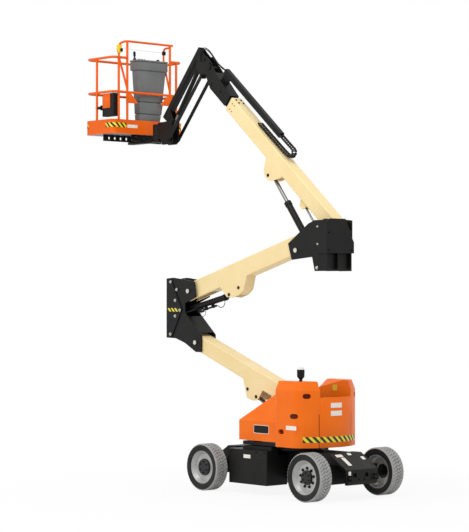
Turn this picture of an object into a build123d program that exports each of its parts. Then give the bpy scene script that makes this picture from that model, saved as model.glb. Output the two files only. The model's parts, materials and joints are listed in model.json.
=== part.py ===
# Electric articulating boom lift, full size, in millimetres.
# Frame: ground at Z = 0, slew axis at X = Y = 0, boom points to -X, tail to +X, left side is -Y.
import math
import os
from build123d import *

os.makedirs("parts", exist_ok=True)

# Fits between pieces
RUNNING_GAP = 0.05
FACE_GAP = 6
SLIDE_GAP = 0.3

# Wheels and axles
OVERALL_WIDTH = 1750
TYRE_RADIUS = 362
TYRE_WIDTH = 238
TYRE_SHOULDER = 20
RIM_RADIUS = 268
RIM_WALL = 24
DISC_SETBACK = 75
DISC_THICKNESS = 18
HUB_SETBACK = 40
DRIVE_HUB_RADIUS = 125
STEER_HUB_RADIUS = 105
STUB_RADIUS = 40
DRIVE_AXLE_X = -1244
STEER_AXLE_X = 1044
KINGPIN_SETBACK = 171
KINGPIN_RADIUS = 22
AXLE_HALF_DEPTH = 100
AXLE_HALF_WIDTH = 85

# Chassis
FRAME_HALF_WIDTH = 225
FRAME_BOTTOM = 240
FRAME_TOP = 675
FRAME_WALL = 25
NOSE_HALF_WIDTH = 330
NOSE_REACH = 331
NOSE_UNDERSIDE = 520
NOSE_EDGE_Z = 458
NOSE_LOW_Z = 290
TIE_DOWN_RADIUS = 25
TIE_DOWN_Y = 270
TIE_DOWN_THICKNESS = 28
BATTERY_BOX_X = (-850, 10)
BATTERY_BOX_Z = (148, 672)
BATTERY_BOX_SIDE = 655
BATTERY_BOX_WALL = 8
BATTERY_LID_RISE = 53
SLEW_RING_RADIUS = 400
SLEW_RING_BORE = 250
SLEW_RING_HEIGHT = 60

# Turntable and hoods
DECK_THICKNESS = 49.7
CHEEK_THICKNESS = 26
CHEEK_CLEARANCE = 12
TAIL_RADIUS = 880
HOOD_LOW = 752
HOOD_SHOULDER = 1600
HOOD_TOP = 1740
HOOD_TAPER = 20
HOOD_WALL = 16
TAIL_WALL = 8
HOOD_FRONT_X = 135
HOOD_SIDE = 630
CHANNEL_HALF_WIDTH = 322
SADDLE_RIM_Z = 1575
COUNTERWEIGHT_TOP = 1240
HINGE_INSET_X = 55
HINGE_INSET_Y = 55
HINGE_RADIUS = 8
FRONT_HOOD_X = (-740, 115)
FRONT_HOOD_Y = (330, 540)
FRONT_HOOD_WALL = 12
FRONT_HOOD_WAIST = 1108

# Boom planes, and the pins of the tower as steps from one pin to the next
TOWER_Y = -130
MAIN_Y = 130
TOWER_PIVOT_X, TOWER_PIVOT_Z = 274, 1382
LOWER_REACH, LOWER_RISE = 2340, 880
UPRIGHT_SETBACK, UPRIGHT_HEIGHT = 180, 821
MID_REACH, MID_RISE = 2476, 620
MID_PIN_DROP = 91
HEAD_REACH, HEAD_RISE = 450, 387
PIVOT_PIN_RADIUS = 40
TOWER_PIN_RADIUS = 34
UPRIGHT_PLATE = 22
SIDE_GAP = 8

# Boom sections
LOWER_DEPTH, LOWER_WIDTH = 242, 260
MID_DEPTH, MID_WIDTH = 284, 200
MAIN_DEPTH, MAIN_WIDTH = 237, 212
FLY_DEPTH, FLY_WIDTH = 186, 158
BOOM_WALL = 8
BOOM_CORNER = 18
MAIN_ANGLE = 40.7
MAIN_LENGTH = 3040
FLY_STROKE = 1300
FLY_NOSE = MAIN_LENGTH + 760

# Jib, rotator and platform
LEVEL_DISTANCE, LEVEL_HEIGHT = FLY_NOSE + 10.6, 151.8
JIB_LENGTH = 1285
JIB_ANGLE = 49.9
JIB_PIN_RADIUS = 22
ARM_DEPTH, ARM_WIDTH, ARM_OFFSET, ARM_WALL = 100, 116, 217, 6
LINK_DEPTH = 66
ROTATOR_REACH = 430
ROTATOR_RADIUS = 88
PLATFORM_DEPTH, PLATFORM_WIDTH = 760, 1520
PLATFORM_SETBACK = 250
PLATFORM_DROP = 152
SKIRT_HEIGHT = 237
SKIRT_WALL = 4
FLOOR_RISE = 90
MID_RAIL_RISE = 696
TOP_RAIL_RISE = 1268
ARCH_RISE = 1550
RAIL_RADIUS = 19
RAIL_INSET = 24
POST_RADIUS = 16
ARCH_RADIUS = 17
GUARD_RADIUS = 12
CORNER_RADIUS = 90


def block(x_pair, y_pair, z_pair):
    # Box between two corners.
    size = [abs(pair[1] - pair[0]) for pair in (x_pair, y_pair, z_pair)]
    centre = [(pair[0] + pair[1]) / 2 for pair in (x_pair, y_pair, z_pair)]
    return Pos(*centre) * Box(*size)


def plate(points, y_low, y_high):
    # Flat plate whose side view is the polygon, between two Y planes.
    face = make_face(Polyline(*[(x, y_low, z) for x, z in points], close=True))
    return extrude(face, amount=y_high - y_low, dir=(0, 1, 0))


def rounded_plate(points, radius, y_low, y_high):
    # Flat plate with rounded corners, between two Y planes.
    outline = FilletPolyline(*[(x, y_low, z) for x, z in points], radius=radius, close=True)
    return extrude(make_face(outline), amount=y_high - y_low, dir=(0, 1, 0))


def rod(start, end, radius):
    # Round bar between two points.
    start, end = Vector(*start), Vector(*end)
    return Solid.make_cylinder(radius, (end - start).length, Plane(origin=start, z_dir=end - start))


def cross_pin(place, y_low, y_high, radius):
    # Round bar along Y at a place in the side view.
    return rod((place[0], y_low, place[1]), (place[0], y_high, place[1]), radius)


def shift(place, reach, rise):
    # Place moved in the side view.
    return (place[0] + reach, place[1] + rise)


def outline_at(place, steps):
    # Polygon given as steps from a pin.
    return [shift(place, reach, rise) for reach, rise in steps]


def along(start, end):
    # Unit vector, upward normal and length of a line in the side view.
    dx, dz = end[0] - start[0], end[1] - start[1]
    length = math.hypot(dx, dz)
    ux, uz = dx / length, dz / length
    normal = (-uz, ux) if ux > 0 else (uz, -ux)
    return (ux, uz), normal, length


def step_along(start, end, distance, height=0):
    # Point at a distance along a line and a height along its upward normal.
    u, n, _ = along(start, end)
    return (start[0] + u[0] * distance + n[0] * height, start[1] + u[1] * distance + n[1] * height)


def beside(start, end, steps):
    # Polygon given as distances along a line and heights above it.
    return [step_along(start, end, distance, height) for distance, height in steps]


def box_tube(start, end, depth, width, y_centre, wall, corner):
    # Hollow box section with rounded corners along a line in the side view.
    u, _, length = along(start, end)
    section = RectangleRounded(width, depth, corner)
    section -= RectangleRounded(width - 2 * wall, depth - 2 * wall, corner - wall)
    place = Plane(origin=(start[0], y_centre, start[1]), x_dir=(0, 1, 0), z_dir=(u[0], 0, u[1]))
    return extrude(place * section, amount=length)


def ordered(a, b):
    # The two numbers, low one first.
    return (min(a, b), max(a, b))


def save(name, shape):
    shape.label = name
    export_step(shape, f"parts/{name}.step")


# Pins of the tower and of the main boom
LOWER_PIVOT = (TOWER_PIVOT_X, TOWER_PIVOT_Z)
LOWER_FRONT_PIN = shift(LOWER_PIVOT, -LOWER_REACH, LOWER_RISE)
MID_FRONT_PIN = shift(LOWER_FRONT_PIN, -UPRIGHT_SETBACK, UPRIGHT_HEIGHT)
MID_REAR_PIN = shift(MID_FRONT_PIN, MID_REACH, MID_RISE)
MAIN_PIVOT = shift(MID_REAR_PIN, HEAD_REACH, HEAD_RISE)
mid_slope = math.atan2(MID_RISE, MID_REACH) + math.asin(MID_PIN_DROP / math.hypot(MID_REACH, MID_RISE))
MID_AIM = shift(MID_FRONT_PIN, 1000 * math.cos(mid_slope), 1000 * math.sin(mid_slope))
main_slope = math.radians(MAIN_ANGLE)
MAIN_TIP = shift(MAIN_PIVOT, -MAIN_LENGTH * math.cos(main_slope), MAIN_LENGTH * math.sin(main_slope))

# Pins of the jib
LEVEL_PIVOT = step_along(MAIN_PIVOT, MAIN_TIP, LEVEL_DISTANCE, LEVEL_HEIGHT)
JIB_ARM_PIN = shift(LEVEL_PIVOT, -152, 145)
JIB_LINK_PIN = shift(LEVEL_PIVOT, -180, -120)
jib_step = (-JIB_LENGTH * math.cos(math.radians(JIB_ANGLE)), -JIB_LENGTH * math.sin(math.radians(JIB_ANGLE)))
ARM_END = shift(JIB_ARM_PIN, *jib_step)
LINK_END = shift(JIB_LINK_PIN, *jib_step)

# Cylinder pins, base then rod eye
LOWER_LIFT = (shift(LOWER_PIVOT, 76, -532), step_along(LOWER_PIVOT, LOWER_FRONT_PIN, 1047, -298.6))
MID_LIFT = (shift(MID_FRONT_PIN, -234, -311), step_along(MID_FRONT_PIN, MID_AIM, 869, -307))
MAIN_LIFT = (shift(MID_REAR_PIN, 0, -23), step_along(MAIN_PIVOT, MAIN_TIP, 1564.2, -290))
LEVEL_LIFT = (shift(MAIN_PIVOT, -120, -390), step_along(MAIN_PIVOT, MAIN_TIP, 691.5, -199))
JIB_LIFT = (shift(LEVEL_PIVOT, -310, 80), shift(ARM_END, -200, -261))
LOWER_LIFT_PIN, MID_LIFT_PIN, MAIN_LIFT_PIN, LEVEL_PIN, JIB_LIFT_PIN = 24, 24, 26, 18, 20

# Wheels: solid tyre on a dished rim, both turned from a profile
WHEEL_Y = (OVERALL_WIDTH - TYRE_WIDTH) / 2
DISC_INNER_Y = OVERALL_WIDTH / 2 - DISC_SETBACK - DISC_THICKNESS
STUB_END_Y = OVERALL_WIDTH / 2 - HUB_SETBACK - 22


def turned(x, side, profile):
    # Solid turned about an axle, its profile given as radius and depth from the tyre's outer face.
    places = [(x, side * (OVERALL_WIDTH / 2 - depth), TYRE_RADIUS + radius) for radius, depth in profile]
    face = make_face(Polyline(*places, close=True))
    return revolve(face, Axis((x, 0, TYRE_RADIUS), (0, 1, 0)))


def wheel(name, x, side, hub_radius):
    low, high = RIM_RADIUS, TYRE_RADIUS
    tyre = turned(x, side, [
        (low, TYRE_SHOULDER / 2), (low + TYRE_SHOULDER, 0), (high - TYRE_SHOULDER, 0), (high, TYRE_SHOULDER),
        (high, TYRE_WIDTH - TYRE_SHOULDER), (high - TYRE_SHOULDER, TYRE_WIDTH),
        (low + TYRE_SHOULDER, TYRE_WIDTH), (low, TYRE_WIDTH - TYRE_SHOULDER / 2),
    ])
    save(f"{name}_tyre", tyre)
    lip, back = RIM_RADIUS - RIM_WALL, DISC_SETBACK + DISC_THICKNESS
    rim = turned(x, side, [
        (0, HUB_SETBACK), (hub_radius - 8, HUB_SETBACK), (hub_radius, HUB_SETBACK + 8),
        (hub_radius, DISC_SETBACK), (lip - 40, DISC_SETBACK), (lip - 12, 32),
        (lip, TYRE_SHOULDER / 2), (RIM_RADIUS, TYRE_SHOULDER / 2),
        (RIM_RADIUS, TYRE_WIDTH - TYRE_SHOULDER / 2), (lip, TYRE_WIDTH - TYRE_SHOULDER / 2),
        (lip - 4, back + 27), (lip - 32, back), (STUB_RADIUS + RUNNING_GAP, back),
        (STUB_RADIUS + RUNNING_GAP, HUB_SETBACK + 20), (0, HUB_SETBACK + 20),
    ])
    save(f"{name}_rim", rim)


for side, word in ((-1, "left"), (1, "right")):
    wheel(f"drive_{word}", DRIVE_AXLE_X, side, DRIVE_HUB_RADIUS)
    wheel(f"steer_{word}", STEER_AXLE_X, side, STEER_HUB_RADIUS)

# Chassis frame: welded box with a bent cover plate over each axle and four tie-down lugs
frame_ends = (DRIVE_AXLE_X + 194, STEER_AXLE_X - 164)
frame = block(frame_ends, (-FRAME_HALF_WIDTH, FRAME_HALF_WIDTH), (FRAME_BOTTOM, FRAME_TOP))
frame -= block(
    (frame_ends[0] + FRAME_WALL, frame_ends[1] - FRAME_WALL),
    (-FRAME_HALF_WIDTH + FRAME_WALL, FRAME_HALF_WIDTH - FRAME_WALL),
    (FRAME_BOTTOM + FRAME_WALL, FRAME_TOP - FRAME_WALL),
)


def nose(axle_x, inner_x, direction):
    # Cover plate from the frame over the axle, sloped down to an end face with two slots.
    end_x = axle_x + direction * NOSE_REACH
    fold_x = axle_x - direction * 14
    under_x = axle_x + direction * 156
    points = [(inner_x, NOSE_UNDERSIDE), (inner_x, FRAME_TOP), (fold_x, FRAME_TOP), (end_x, NOSE_EDGE_Z)]
    points += [(end_x, NOSE_LOW_Z), (end_x - direction * 45, NOSE_LOW_Z), (end_x - direction * 45, 430)]
    points += [(under_x, NOSE_UNDERSIDE)]
    cover = plate(points, -NOSE_HALF_WIDTH, NOSE_HALF_WIDTH)
    for y in (-150, 90):
        cover -= block(ordered(end_x - direction * 60, end_x + direction * 10), (y - 40, y + 40), (345, 405))
    flange = ordered(end_x - direction * 45, end_x + direction * 8)
    cover += block(flange, (-NOSE_HALF_WIDTH + 20, NOSE_HALF_WIDTH - 20), (NOSE_LOW_Z - 55, NOSE_LOW_Z))
    for y in (-TIE_DOWN_Y, TIE_DOWN_Y):
        lug_y = (y - TIE_DOWN_THICKNESS / 2, y + TIE_DOWN_THICKNESS / 2)
        lug = block(ordered(end_x, end_x + direction * 70), lug_y, (NOSE_LOW_Z + 10, NOSE_LOW_Z + 90))
        hole = (end_x + direction * 36, NOSE_LOW_Z + 50)
        cover += lug - cross_pin(hole, lug_y[0] - 5, lug_y[1] + 5, TIE_DOWN_RADIUS)
    return cover


frame += nose(STEER_AXLE_X, frame_ends[1], 1)
frame += nose(DRIVE_AXLE_X, frame_ends[0], -1)
save("chassis_frame", frame)

# Battery boxes: steel tray with a raised lid on each side of the frame, packs inside as plain blocks
for side, word in ((-1, "left"), (1, "right")):
    y_pair = ordered(side * FRAME_HALF_WIDTH, side * BATTERY_BOX_SIDE)
    wall = BATTERY_BOX_WALL
    room_x = (BATTERY_BOX_X[0] + wall, BATTERY_BOX_X[1] - wall)
    room_y = (y_pair[0] + wall, y_pair[1] - wall)
    tray = block(BATTERY_BOX_X, y_pair, BATTERY_BOX_Z)
    tray = chamfer(tray.edges().filter_by(Axis.Z), wall)
    tray -= block(room_x, room_y, (BATTERY_BOX_Z[0] + wall, BATTERY_BOX_Z[1] - wall))
    lid_x = (BATTERY_BOX_X[0] + 210, BATTERY_BOX_X[1])
    lid_top = BATTERY_BOX_Z[1] + BATTERY_LID_RISE
    lid = [(lid_x[0], BATTERY_BOX_Z[1]), (lid_x[0] + 40, lid_top)]
    lid += [(lid_x[1], lid_top), (lid_x[1], BATTERY_BOX_Z[1])]
    tray += plate(lid, *ordered(side * FRAME_HALF_WIDTH, side * (BATTERY_BOX_SIDE - 95)))
    tray -= rod((0, 0, FRAME_TOP - 75), (0, 0, lid_top + 50), SLEW_RING_RADIUS + 2 * FACE_GAP)
    save(f"battery_box_{word}", tray)
    pack = block(room_x, room_y, (BATTERY_BOX_Z[0] + wall, BATTERY_BOX_Z[1] - 110))
    save(f"battery_pack_{word}", pack)

# Drive axle: fixed beam under the frame with a hub motor at each end
BEAM_END_Y = WHEEL_Y - 236
MOTOR_END_Y = WHEEL_Y - 96
beam_z = (TYRE_RADIUS - AXLE_HALF_DEPTH, TYRE_RADIUS + AXLE_HALF_DEPTH - 22)
beam = block((DRIVE_AXLE_X - 90, DRIVE_AXLE_X + 90), (-BEAM_END_Y, BEAM_END_Y), beam_z)
seat_y = (-FRAME_HALF_WIDTH, FRAME_HALF_WIDTH)
beam += block((DRIVE_AXLE_X - 120, DRIVE_AXLE_X + 120), seat_y, (beam_z[1], NOSE_UNDERSIDE))
for side in (-1, 1):
    for start, end, radius in (
        (BEAM_END_Y, MOTOR_END_Y, 140),
        (MOTOR_END_Y, DISC_INNER_Y - 1, 105),
        (MOTOR_END_Y, STUB_END_Y, STUB_RADIUS),
    ):
        rod_ends = [(DRIVE_AXLE_X, side * y, TYRE_RADIUS) for y in (start, end)]
        beam += rod(*rod_ends, radius)
save("drive_axle", beam)

# Steer axle: fixed beam with a yoke and kingpin at each end
KINGPIN_Y = WHEEL_Y - KINGPIN_SETBACK
YOKE_LOW = (TYRE_RADIUS - 130, TYRE_RADIUS - 104)
YOKE_HIGH = (TYRE_RADIUS + 104, TYRE_RADIUS + 130)
beam_x = (STEER_AXLE_X - AXLE_HALF_WIDTH, STEER_AXLE_X + AXLE_HALF_WIDTH)
beam = block(beam_x, (-KINGPIN_Y + 150, KINGPIN_Y - 150), (YOKE_LOW[0], YOKE_HIGH[1]))
beam += block((STEER_AXLE_X - 120, STEER_AXLE_X + 120), seat_y, (YOKE_HIGH[1], NOSE_UNDERSIDE))
for side in (-1, 1):
    axis_place = (STEER_AXLE_X, side * KINGPIN_Y)
    for z_pair in (YOKE_LOW, YOKE_HIGH):
        reach = ordered(side * (KINGPIN_Y - 165), side * KINGPIN_Y)
        beam += block((STEER_AXLE_X - 60, STEER_AXLE_X + 60), reach, z_pair)
        beam += rod((*axis_place, z_pair[0]), (*axis_place, z_pair[1]), 60)
    beam += rod((*axis_place, YOKE_LOW[0]), (*axis_place, YOKE_HIGH[1]), KINGPIN_RADIUS)
save("steer_axle", beam)

# Steering knuckles: hub on the kingpin, spindle for the wheel and a steering arm
for side, word in ((-1, "left"), (1, "right")):
    axis_place = (STEER_AXLE_X, side * KINGPIN_Y)
    knuckle = rod((*axis_place, YOKE_LOW[1] + FACE_GAP), (*axis_place, YOKE_HIGH[0] - FACE_GAP), 52)
    start = (*axis_place, TYRE_RADIUS)
    knuckle += rod(start, (STEER_AXLE_X, side * (DISC_INNER_Y - 1), TYRE_RADIUS), 62)
    knuckle += rod(start, (STEER_AXLE_X, side * STUB_END_Y, TYRE_RADIUS), STUB_RADIUS)
    arm_y = ordered(side * (KINGPIN_Y - 25), side * (KINGPIN_Y + 25))
    knuckle += block((STEER_AXLE_X - 220, STEER_AXLE_X), arm_y, (TYRE_RADIUS - 22, TYRE_RADIUS + 22))
    bore_z = (YOKE_LOW[0] - 5, YOKE_HIGH[1] + 5)
    knuckle -= rod((*axis_place, bore_z[0]), (*axis_place, bore_z[1]), KINGPIN_RADIUS + RUNNING_GAP)
    save(f"knuckle_{word}", knuckle)

# Slew ring on top of the frame
SLEW_RING_TOP = FRAME_TOP + SLEW_RING_HEIGHT
ring = rod((0, 0, FRAME_TOP), (0, 0, SLEW_RING_TOP), SLEW_RING_RADIUS)
ring -= rod((0, 0, FRAME_TOP - 5), (0, 0, SLEW_RING_TOP + 5), SLEW_RING_BORE)
save("slew_ring", ring)

# Turntable base: deck plate with two cheeks that hold the lower boom and its lift cylinder
DECK_LOW = SLEW_RING_TOP + SLIDE_GAP
DECK_TOP = DECK_LOW + DECK_THICKNESS
HINGE_X, HINGE_Y = HOOD_FRONT_X + HINGE_INSET_X, HOOD_SIDE - HINGE_INSET_Y
base = block((FRONT_HOOD_X[0] + 5, 560), (-500, 500), (DECK_LOW, DECK_TOP))
base = fillet(base.edges().filter_by(Axis.Z), 60)
base += rod((0, 0, DECK_LOW), (0, 0, DECK_TOP), SLEW_RING_RADIUS + 30)
cheek_inner = LOWER_WIDTH / 2 + CHEEK_CLEARANCE
CHEEK_Y = (
    (TOWER_Y - cheek_inner - CHEEK_THICKNESS, TOWER_Y - cheek_inner),
    (TOWER_Y + cheek_inner, TOWER_Y + cheek_inner + CHEEK_THICKNESS),
)
cheek_top = outline_at(LOWER_PIVOT, [(-150, -60), (-70, 130), (-40, 268), (110, 268), (160, 60)])
cheek_points = [(LOWER_PIVOT[0] - 234, DECK_TOP - 5), *cheek_top, (LOWER_PIVOT[0] + 246, DECK_TOP - 5)]
for y_pair in CHEEK_Y:
    base += rounded_plate(cheek_points, 25, *y_pair)
base += cross_pin(LOWER_PIVOT, CHEEK_Y[0][0] - 12, CHEEK_Y[1][1] + 12, PIVOT_PIN_RADIUS)
base += cross_pin(LOWER_LIFT[0], CHEEK_Y[0][0], CHEEK_Y[1][1], LOWER_LIFT_PIN)
for side in (-1, 1):
    reach = ordered(side * 480, side * (HINGE_Y + 12))
    base += block((HINGE_X - 20, HINGE_X + 20), reach, (DECK_LOW, HOOD_LOW - FACE_GAP))
    hinge_pin = (HINGE_X, side * HINGE_Y)
    base += rod((*hinge_pin, HOOD_LOW - FACE_GAP - 5), (*hinge_pin, HOOD_SHOULDER), HINGE_RADIUS)
save("turntable_base", base)

# Counterweight: heavy cast tail block under the saddle
tail = rod((0, 0, DECK_TOP), (0, 0, COUNTERWEIGHT_TOP), TAIL_RADIUS - 90)
tail_y = (-HOOD_SIDE + 75, HOOD_SIDE - 75)
tail &= block((TAIL_RADIUS - 450, TAIL_RADIUS), tail_y, (DECK_TOP, COUNTERWEIGHT_TOP))
channel_y = (-CHANNEL_HALF_WIDTH, CHANNEL_HALF_WIDTH)
tail -= block((TAIL_RADIUS - 480, TAIL_RADIUS - 360), channel_y, (DECK_TOP - 5, COUNTERWEIGHT_TOP + 5))
middle = rod((0, 0, DECK_TOP), (0, 0, COUNTERWEIGHT_TOP), TAIL_RADIUS - TAIL_WALL)
middle_y = (-CHANNEL_HALF_WIDTH + 12, CHANNEL_HALF_WIDTH - 12)
middle &= block((TAIL_RADIUS - 360, TAIL_RADIUS), middle_y, (DECK_TOP, COUNTERWEIGHT_TOP))
save("counterweight", tail + middle)


# Hoods: moulded tail covers with rounded corners, a sloped shoulder and a corner cut towards the boom
def tail_plan(inset):
    # Plan of the whole tail, moved in by the inset.
    front = HOOD_FRONT_X + inset
    plan = Circle(TAIL_RADIUS - inset)
    plan &= Pos((front + TAIL_RADIUS) / 2, 0) * Rectangle(TAIL_RADIUS - front, 2 * (HOOD_SIDE - inset))
    corners = plan.vertices().group_by(Axis.X)
    plan = fillet(corners[0], 70 - inset)
    corners = plan.vertices().sort_by(Axis.X)
    rear = [v for v in corners if v.X > TAIL_RADIUS * 0.6]
    return fillet(rear, 240 - inset)


def tail_body(inset):
    # Straight skirt with a tapered shoulder on top.
    plan = tail_plan(inset)
    skirt = extrude(Pos(0, 0, HOOD_LOW - inset) * plan, amount=HOOD_SHOULDER - HOOD_LOW + inset)
    rise = HOOD_TOP - HOOD_SHOULDER - inset
    shoulder = extrude(Pos(0, 0, HOOD_SHOULDER) * plan, amount=rise, taper=HOOD_TAPER)
    return skirt + shoulder


def corner_cut(side, inset):
    # Space above the slope that runs from the boom channel's front up to the tail.
    low = Vector(HOOD_FRONT_X, side * CHANNEL_HALF_WIDTH, HOOD_TOP - 125)
    rear = Vector(700, side * CHANNEL_HALF_WIDTH, HOOD_TOP + 10)
    out = Vector(HOOD_FRONT_X, side * (CHANNEL_HALF_WIDTH + 150), HOOD_TOP + 10)
    normal = (rear - low).cross(out - low)
    if normal.Z < 0:
        normal = normal * -1
    normal = normal.normalized()
    place = Plane(origin=low - normal * inset, x_dir=rear - low, z_dir=normal)
    return place * Pos(0, 0, 500) * Box(4000, 4000, 1000)


def hood_pocket(centre, direction):
    # Oval hand pocket pressed into the cover, as the cup and the space to cut away.
    place = Plane(origin=centre, x_dir=(0, 0, 1), z_dir=direction)
    cup = extrude(place * Pos(0, 0, -55) * SlotOverall(140, 90, rotation=90), amount=120)
    space = extrude(place * Pos(0, 0, -47) * SlotOverall(124, 74, rotation=90), amount=120)
    return cup, space


outer_tail, inner_tail = tail_body(0), tail_body(HOOD_WALL)


def hood(word, side):
    reach, height = (0, TAIL_RADIUS + 50), (HOOD_LOW - 150, HOOD_TOP + 150)
    half = block(reach, ordered(side * CHANNEL_HALF_WIDTH, side * TAIL_RADIUS), height)
    inner_half = block(reach, ordered(side * (CHANNEL_HALF_WIDTH + HOOD_WALL), side * TAIL_RADIUS), height)
    outer = (outer_tail & half) - corner_cut(side, 0)
    inner = (inner_tail & inner_half) - corner_cut(side, HOOD_WALL)
    shell = outer - inner
    low_channel = ordered(side * (CHANNEL_HALF_WIDTH - 5), side * (CHANNEL_HALF_WIDTH + HOOD_WALL + 1))
    shell -= block((0, TAIL_RADIUS - HOOD_WALL - 1), low_channel, (600, COUNTERWEIGHT_TOP + 2 * FACE_GAP))
    front_gap = ordered(side * (CHANNEL_HALF_WIDTH + HOOD_WALL), side * (HINGE_Y - 30))
    shell -= block((0, HOOD_FRONT_X + HOOD_WALL + 1), front_gap, (600, HOOD_SHOULDER - 80))
    for z in (900, 1480):
        hold = ordered(side * (HOOD_SIDE - HOOD_WALL + 3), side * (HINGE_Y - 14))
        shell += block((HINGE_X - 16, HINGE_X + 16), hold, (z, z + 60))
    pockets = [(Vector(HINGE_X + 106, side * HOOD_SIDE, 982), Vector(0, side, 0))]
    for angle, height, reach in ((34.8, 1523, TAIL_RADIUS), (47.4, 1223, TAIL_RADIUS - 12)):
        outward = Vector(math.cos(math.radians(angle)), side * math.sin(math.radians(angle)), 0)
        pockets.append((outward * reach + Vector(0, 0, height), outward))
    for centre, outward in pockets:
        cup, space = hood_pocket(centre, outward)
        shell += cup & outer
        shell -= space
    hinge_pin = (HINGE_X, side * HINGE_Y)
    shell -= rod((*hinge_pin, DECK_TOP - 40), (*hinge_pin, HOOD_SHOULDER + 5), HINGE_RADIUS + RUNNING_GAP)
    save(f"hood_{word}", shell)


hood("left", -1)
hood("right", 1)

# Tail cover: the curved band under the saddle between the two hoods
saddle_y = (-CHANNEL_HALF_WIDTH + FACE_GAP, CHANNEL_HALF_WIDTH - FACE_GAP)
band = outer_tail - tail_body(TAIL_WALL)
band &= block((TAIL_RADIUS - 380, TAIL_RADIUS + 10), saddle_y, (HOOD_LOW, SADDLE_RIM_Z))
save("tail_cover", band)


# Front hoods: low covers on both sides of the boom with a sloped top and a leaning upper side
def front_cover(side, inset):
    low_x, high_x = FRONT_HOOD_X[0] + inset, FRONT_HOOD_X[1] - inset
    y_pair = ordered(side * (FRONT_HOOD_Y[0] + inset), side * (FRONT_HOOD_Y[1] - inset))
    slope = 0.596
    rear_z = FRONT_HOOD_WAIST + slope * (high_x - 120 - low_x) - inset
    points = [(low_x, 806 - 3 * inset), (low_x, FRONT_HOOD_WAIST - inset), (high_x - 120, rear_z)]
    points += [(high_x, rear_z + 18), (high_x, 806 - 3 * inset)]
    cover = plate(points, *y_pair)
    lean_from = Vector(0, side * (FRONT_HOOD_Y[1] - inset), FRONT_HOOD_WAIST - 8)
    lean = Vector(0, side * math.cos(math.radians(16)), math.sin(math.radians(16)))
    place = Plane(origin=lean_from, x_dir=(1, 0, 0), z_dir=lean)
    return cover - place * Pos(0, 0, 300) * Box(3000, 3000, 600)


for side, word in ((-1, "left"), (1, "right")):
    cover = front_cover(side, 0) - front_cover(side, FRONT_HOOD_WALL)
    foot = ordered(side * FRONT_HOOD_Y[0], side * (FRONT_HOOD_Y[0] + 22))
    cover += block((-600, -450), foot, (DECK_TOP, 840))
    save(f"front_hood_{word}", cover)

# Ground control box beside the boom, and the warning beacon on the left hood
panel_y = (CHEEK_Y[1][1] + 60, CHEEK_Y[1][1] + 230)
panel = block((-420, -330), panel_y, (DECK_TOP, DECK_TOP + 420))
save("ground_control", chamfer(panel.edges().filter_by(Axis.Y).group_by(Axis.Z)[-1], 30))
beacon_place = (560, -470)
beacon_steps = [(30, 0), (30, 25), (46, 45), (46, 125), (38, 130), (38, 195), (24, 215)]
profile = [(0, 0), *beacon_steps, (0, beacon_steps[-1][1])]
places = [(beacon_place[0] + radius, beacon_place[1], HOOD_TOP + rise) for radius, rise in profile]
beacon = revolve(make_face(Polyline(*places, close=True)), Axis((*beacon_place, 0), (0, 0, 1)))
save("beacon", beacon)

# Lower boom: box section with a lift lug below and a slot that clears the raised lift cylinder
start = step_along(LOWER_PIVOT, LOWER_FRONT_PIN, -90)
end = step_along(LOWER_FRONT_PIN, LOWER_PIVOT, -95)
lower = box_tube(start, end, LOWER_DEPTH, LOWER_WIDTH, TOWER_Y, BOOM_WALL, BOOM_CORNER)
lug_steps = [(780, -60), (850, -300), (950, -350), (1090, -360), (1320, -60)]
lug_shape = beside(LOWER_PIVOT, LOWER_FRONT_PIN, lug_steps)
for y_low in (TOWER_Y - LOWER_WIDTH / 2, TOWER_Y + LOWER_WIDTH / 2 - 25):
    lower += rounded_plate(lug_shape, 30, y_low, y_low + 25)
for place in (LOWER_PIVOT, LOWER_FRONT_PIN):
    lower += cross_pin(place, TOWER_Y - LOWER_WIDTH / 2, TOWER_Y + LOWER_WIDTH / 2, 75)
slot = beside(LOWER_PIVOT, LOWER_FRONT_PIN, [(-120, -150), (180, -150), (180, -112), (-120, -85)])
lower -= plate(slot, TOWER_Y - 66, TOWER_Y + 66)
for place, radius in ((LOWER_PIVOT, PIVOT_PIN_RADIUS), (LOWER_FRONT_PIN, TOWER_PIN_RADIUS)):
    lower -= cross_pin(place, TOWER_Y - LOWER_WIDTH, TOWER_Y + LOWER_WIDTH, radius + RUNNING_GAP)
save("lower_boom", lower)

# Lower upright: front plate, two cheeks with rounded yokes, a yoke flange and a bolted side plate.
# Its far cheek is thin, so that the lowered main boom passes beside it.
FAR_PLATE = 14
near_y = TOWER_Y - LOWER_WIDTH / 2 - SIDE_GAP - UPRIGHT_PLATE
far_y = TOWER_Y + LOWER_WIDTH / 2 + SIDE_GAP / 2
yoke_steps = [(-709, 64), (-709, 1027), (-554, 1038), (-44, 978), (6, 728), (-264, 628), (-264, 478)]
yoke_steps += [(141, 123), (141, -152), (6, -152), (-264, -12), (-494, 58)]
yoke = outline_at(LOWER_FRONT_PIN, yoke_steps)
upright = rounded_plate(yoke, 24, near_y, near_y + UPRIGHT_PLATE)
upright += rounded_plate(yoke, 24, far_y, far_y + FAR_PLATE)
across = (near_y, far_y + FAR_PLATE)
front_x = LOWER_FRONT_PIN[0] - 709
upright += block((front_x, front_x + 35), across, (LOWER_FRONT_PIN[1] + 90, LOWER_FRONT_PIN[1] + 1000))
upright += block((front_x + 30, front_x + 195), across, (MID_FRONT_PIN[1] - 328, MID_FRONT_PIN[1] - 294))
flange_ends = shift(LOWER_FRONT_PIN, -195, 418), shift(LOWER_FRONT_PIN, 100, 159)
flange_length = math.dist(*flange_ends)
flange = beside(*flange_ends, [(0, -14), (flange_length, -14), (flange_length, 0), (0, 0)])
upright += plate(flange, *across)
side_plate = outline_at(LOWER_FRONT_PIN, [(-709, 64), (-709, 1027), (-610, 1027), (-330, 530), (-590, 64)])
upright += rounded_plate(side_plate, 15, near_y - 14, near_y)
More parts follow.
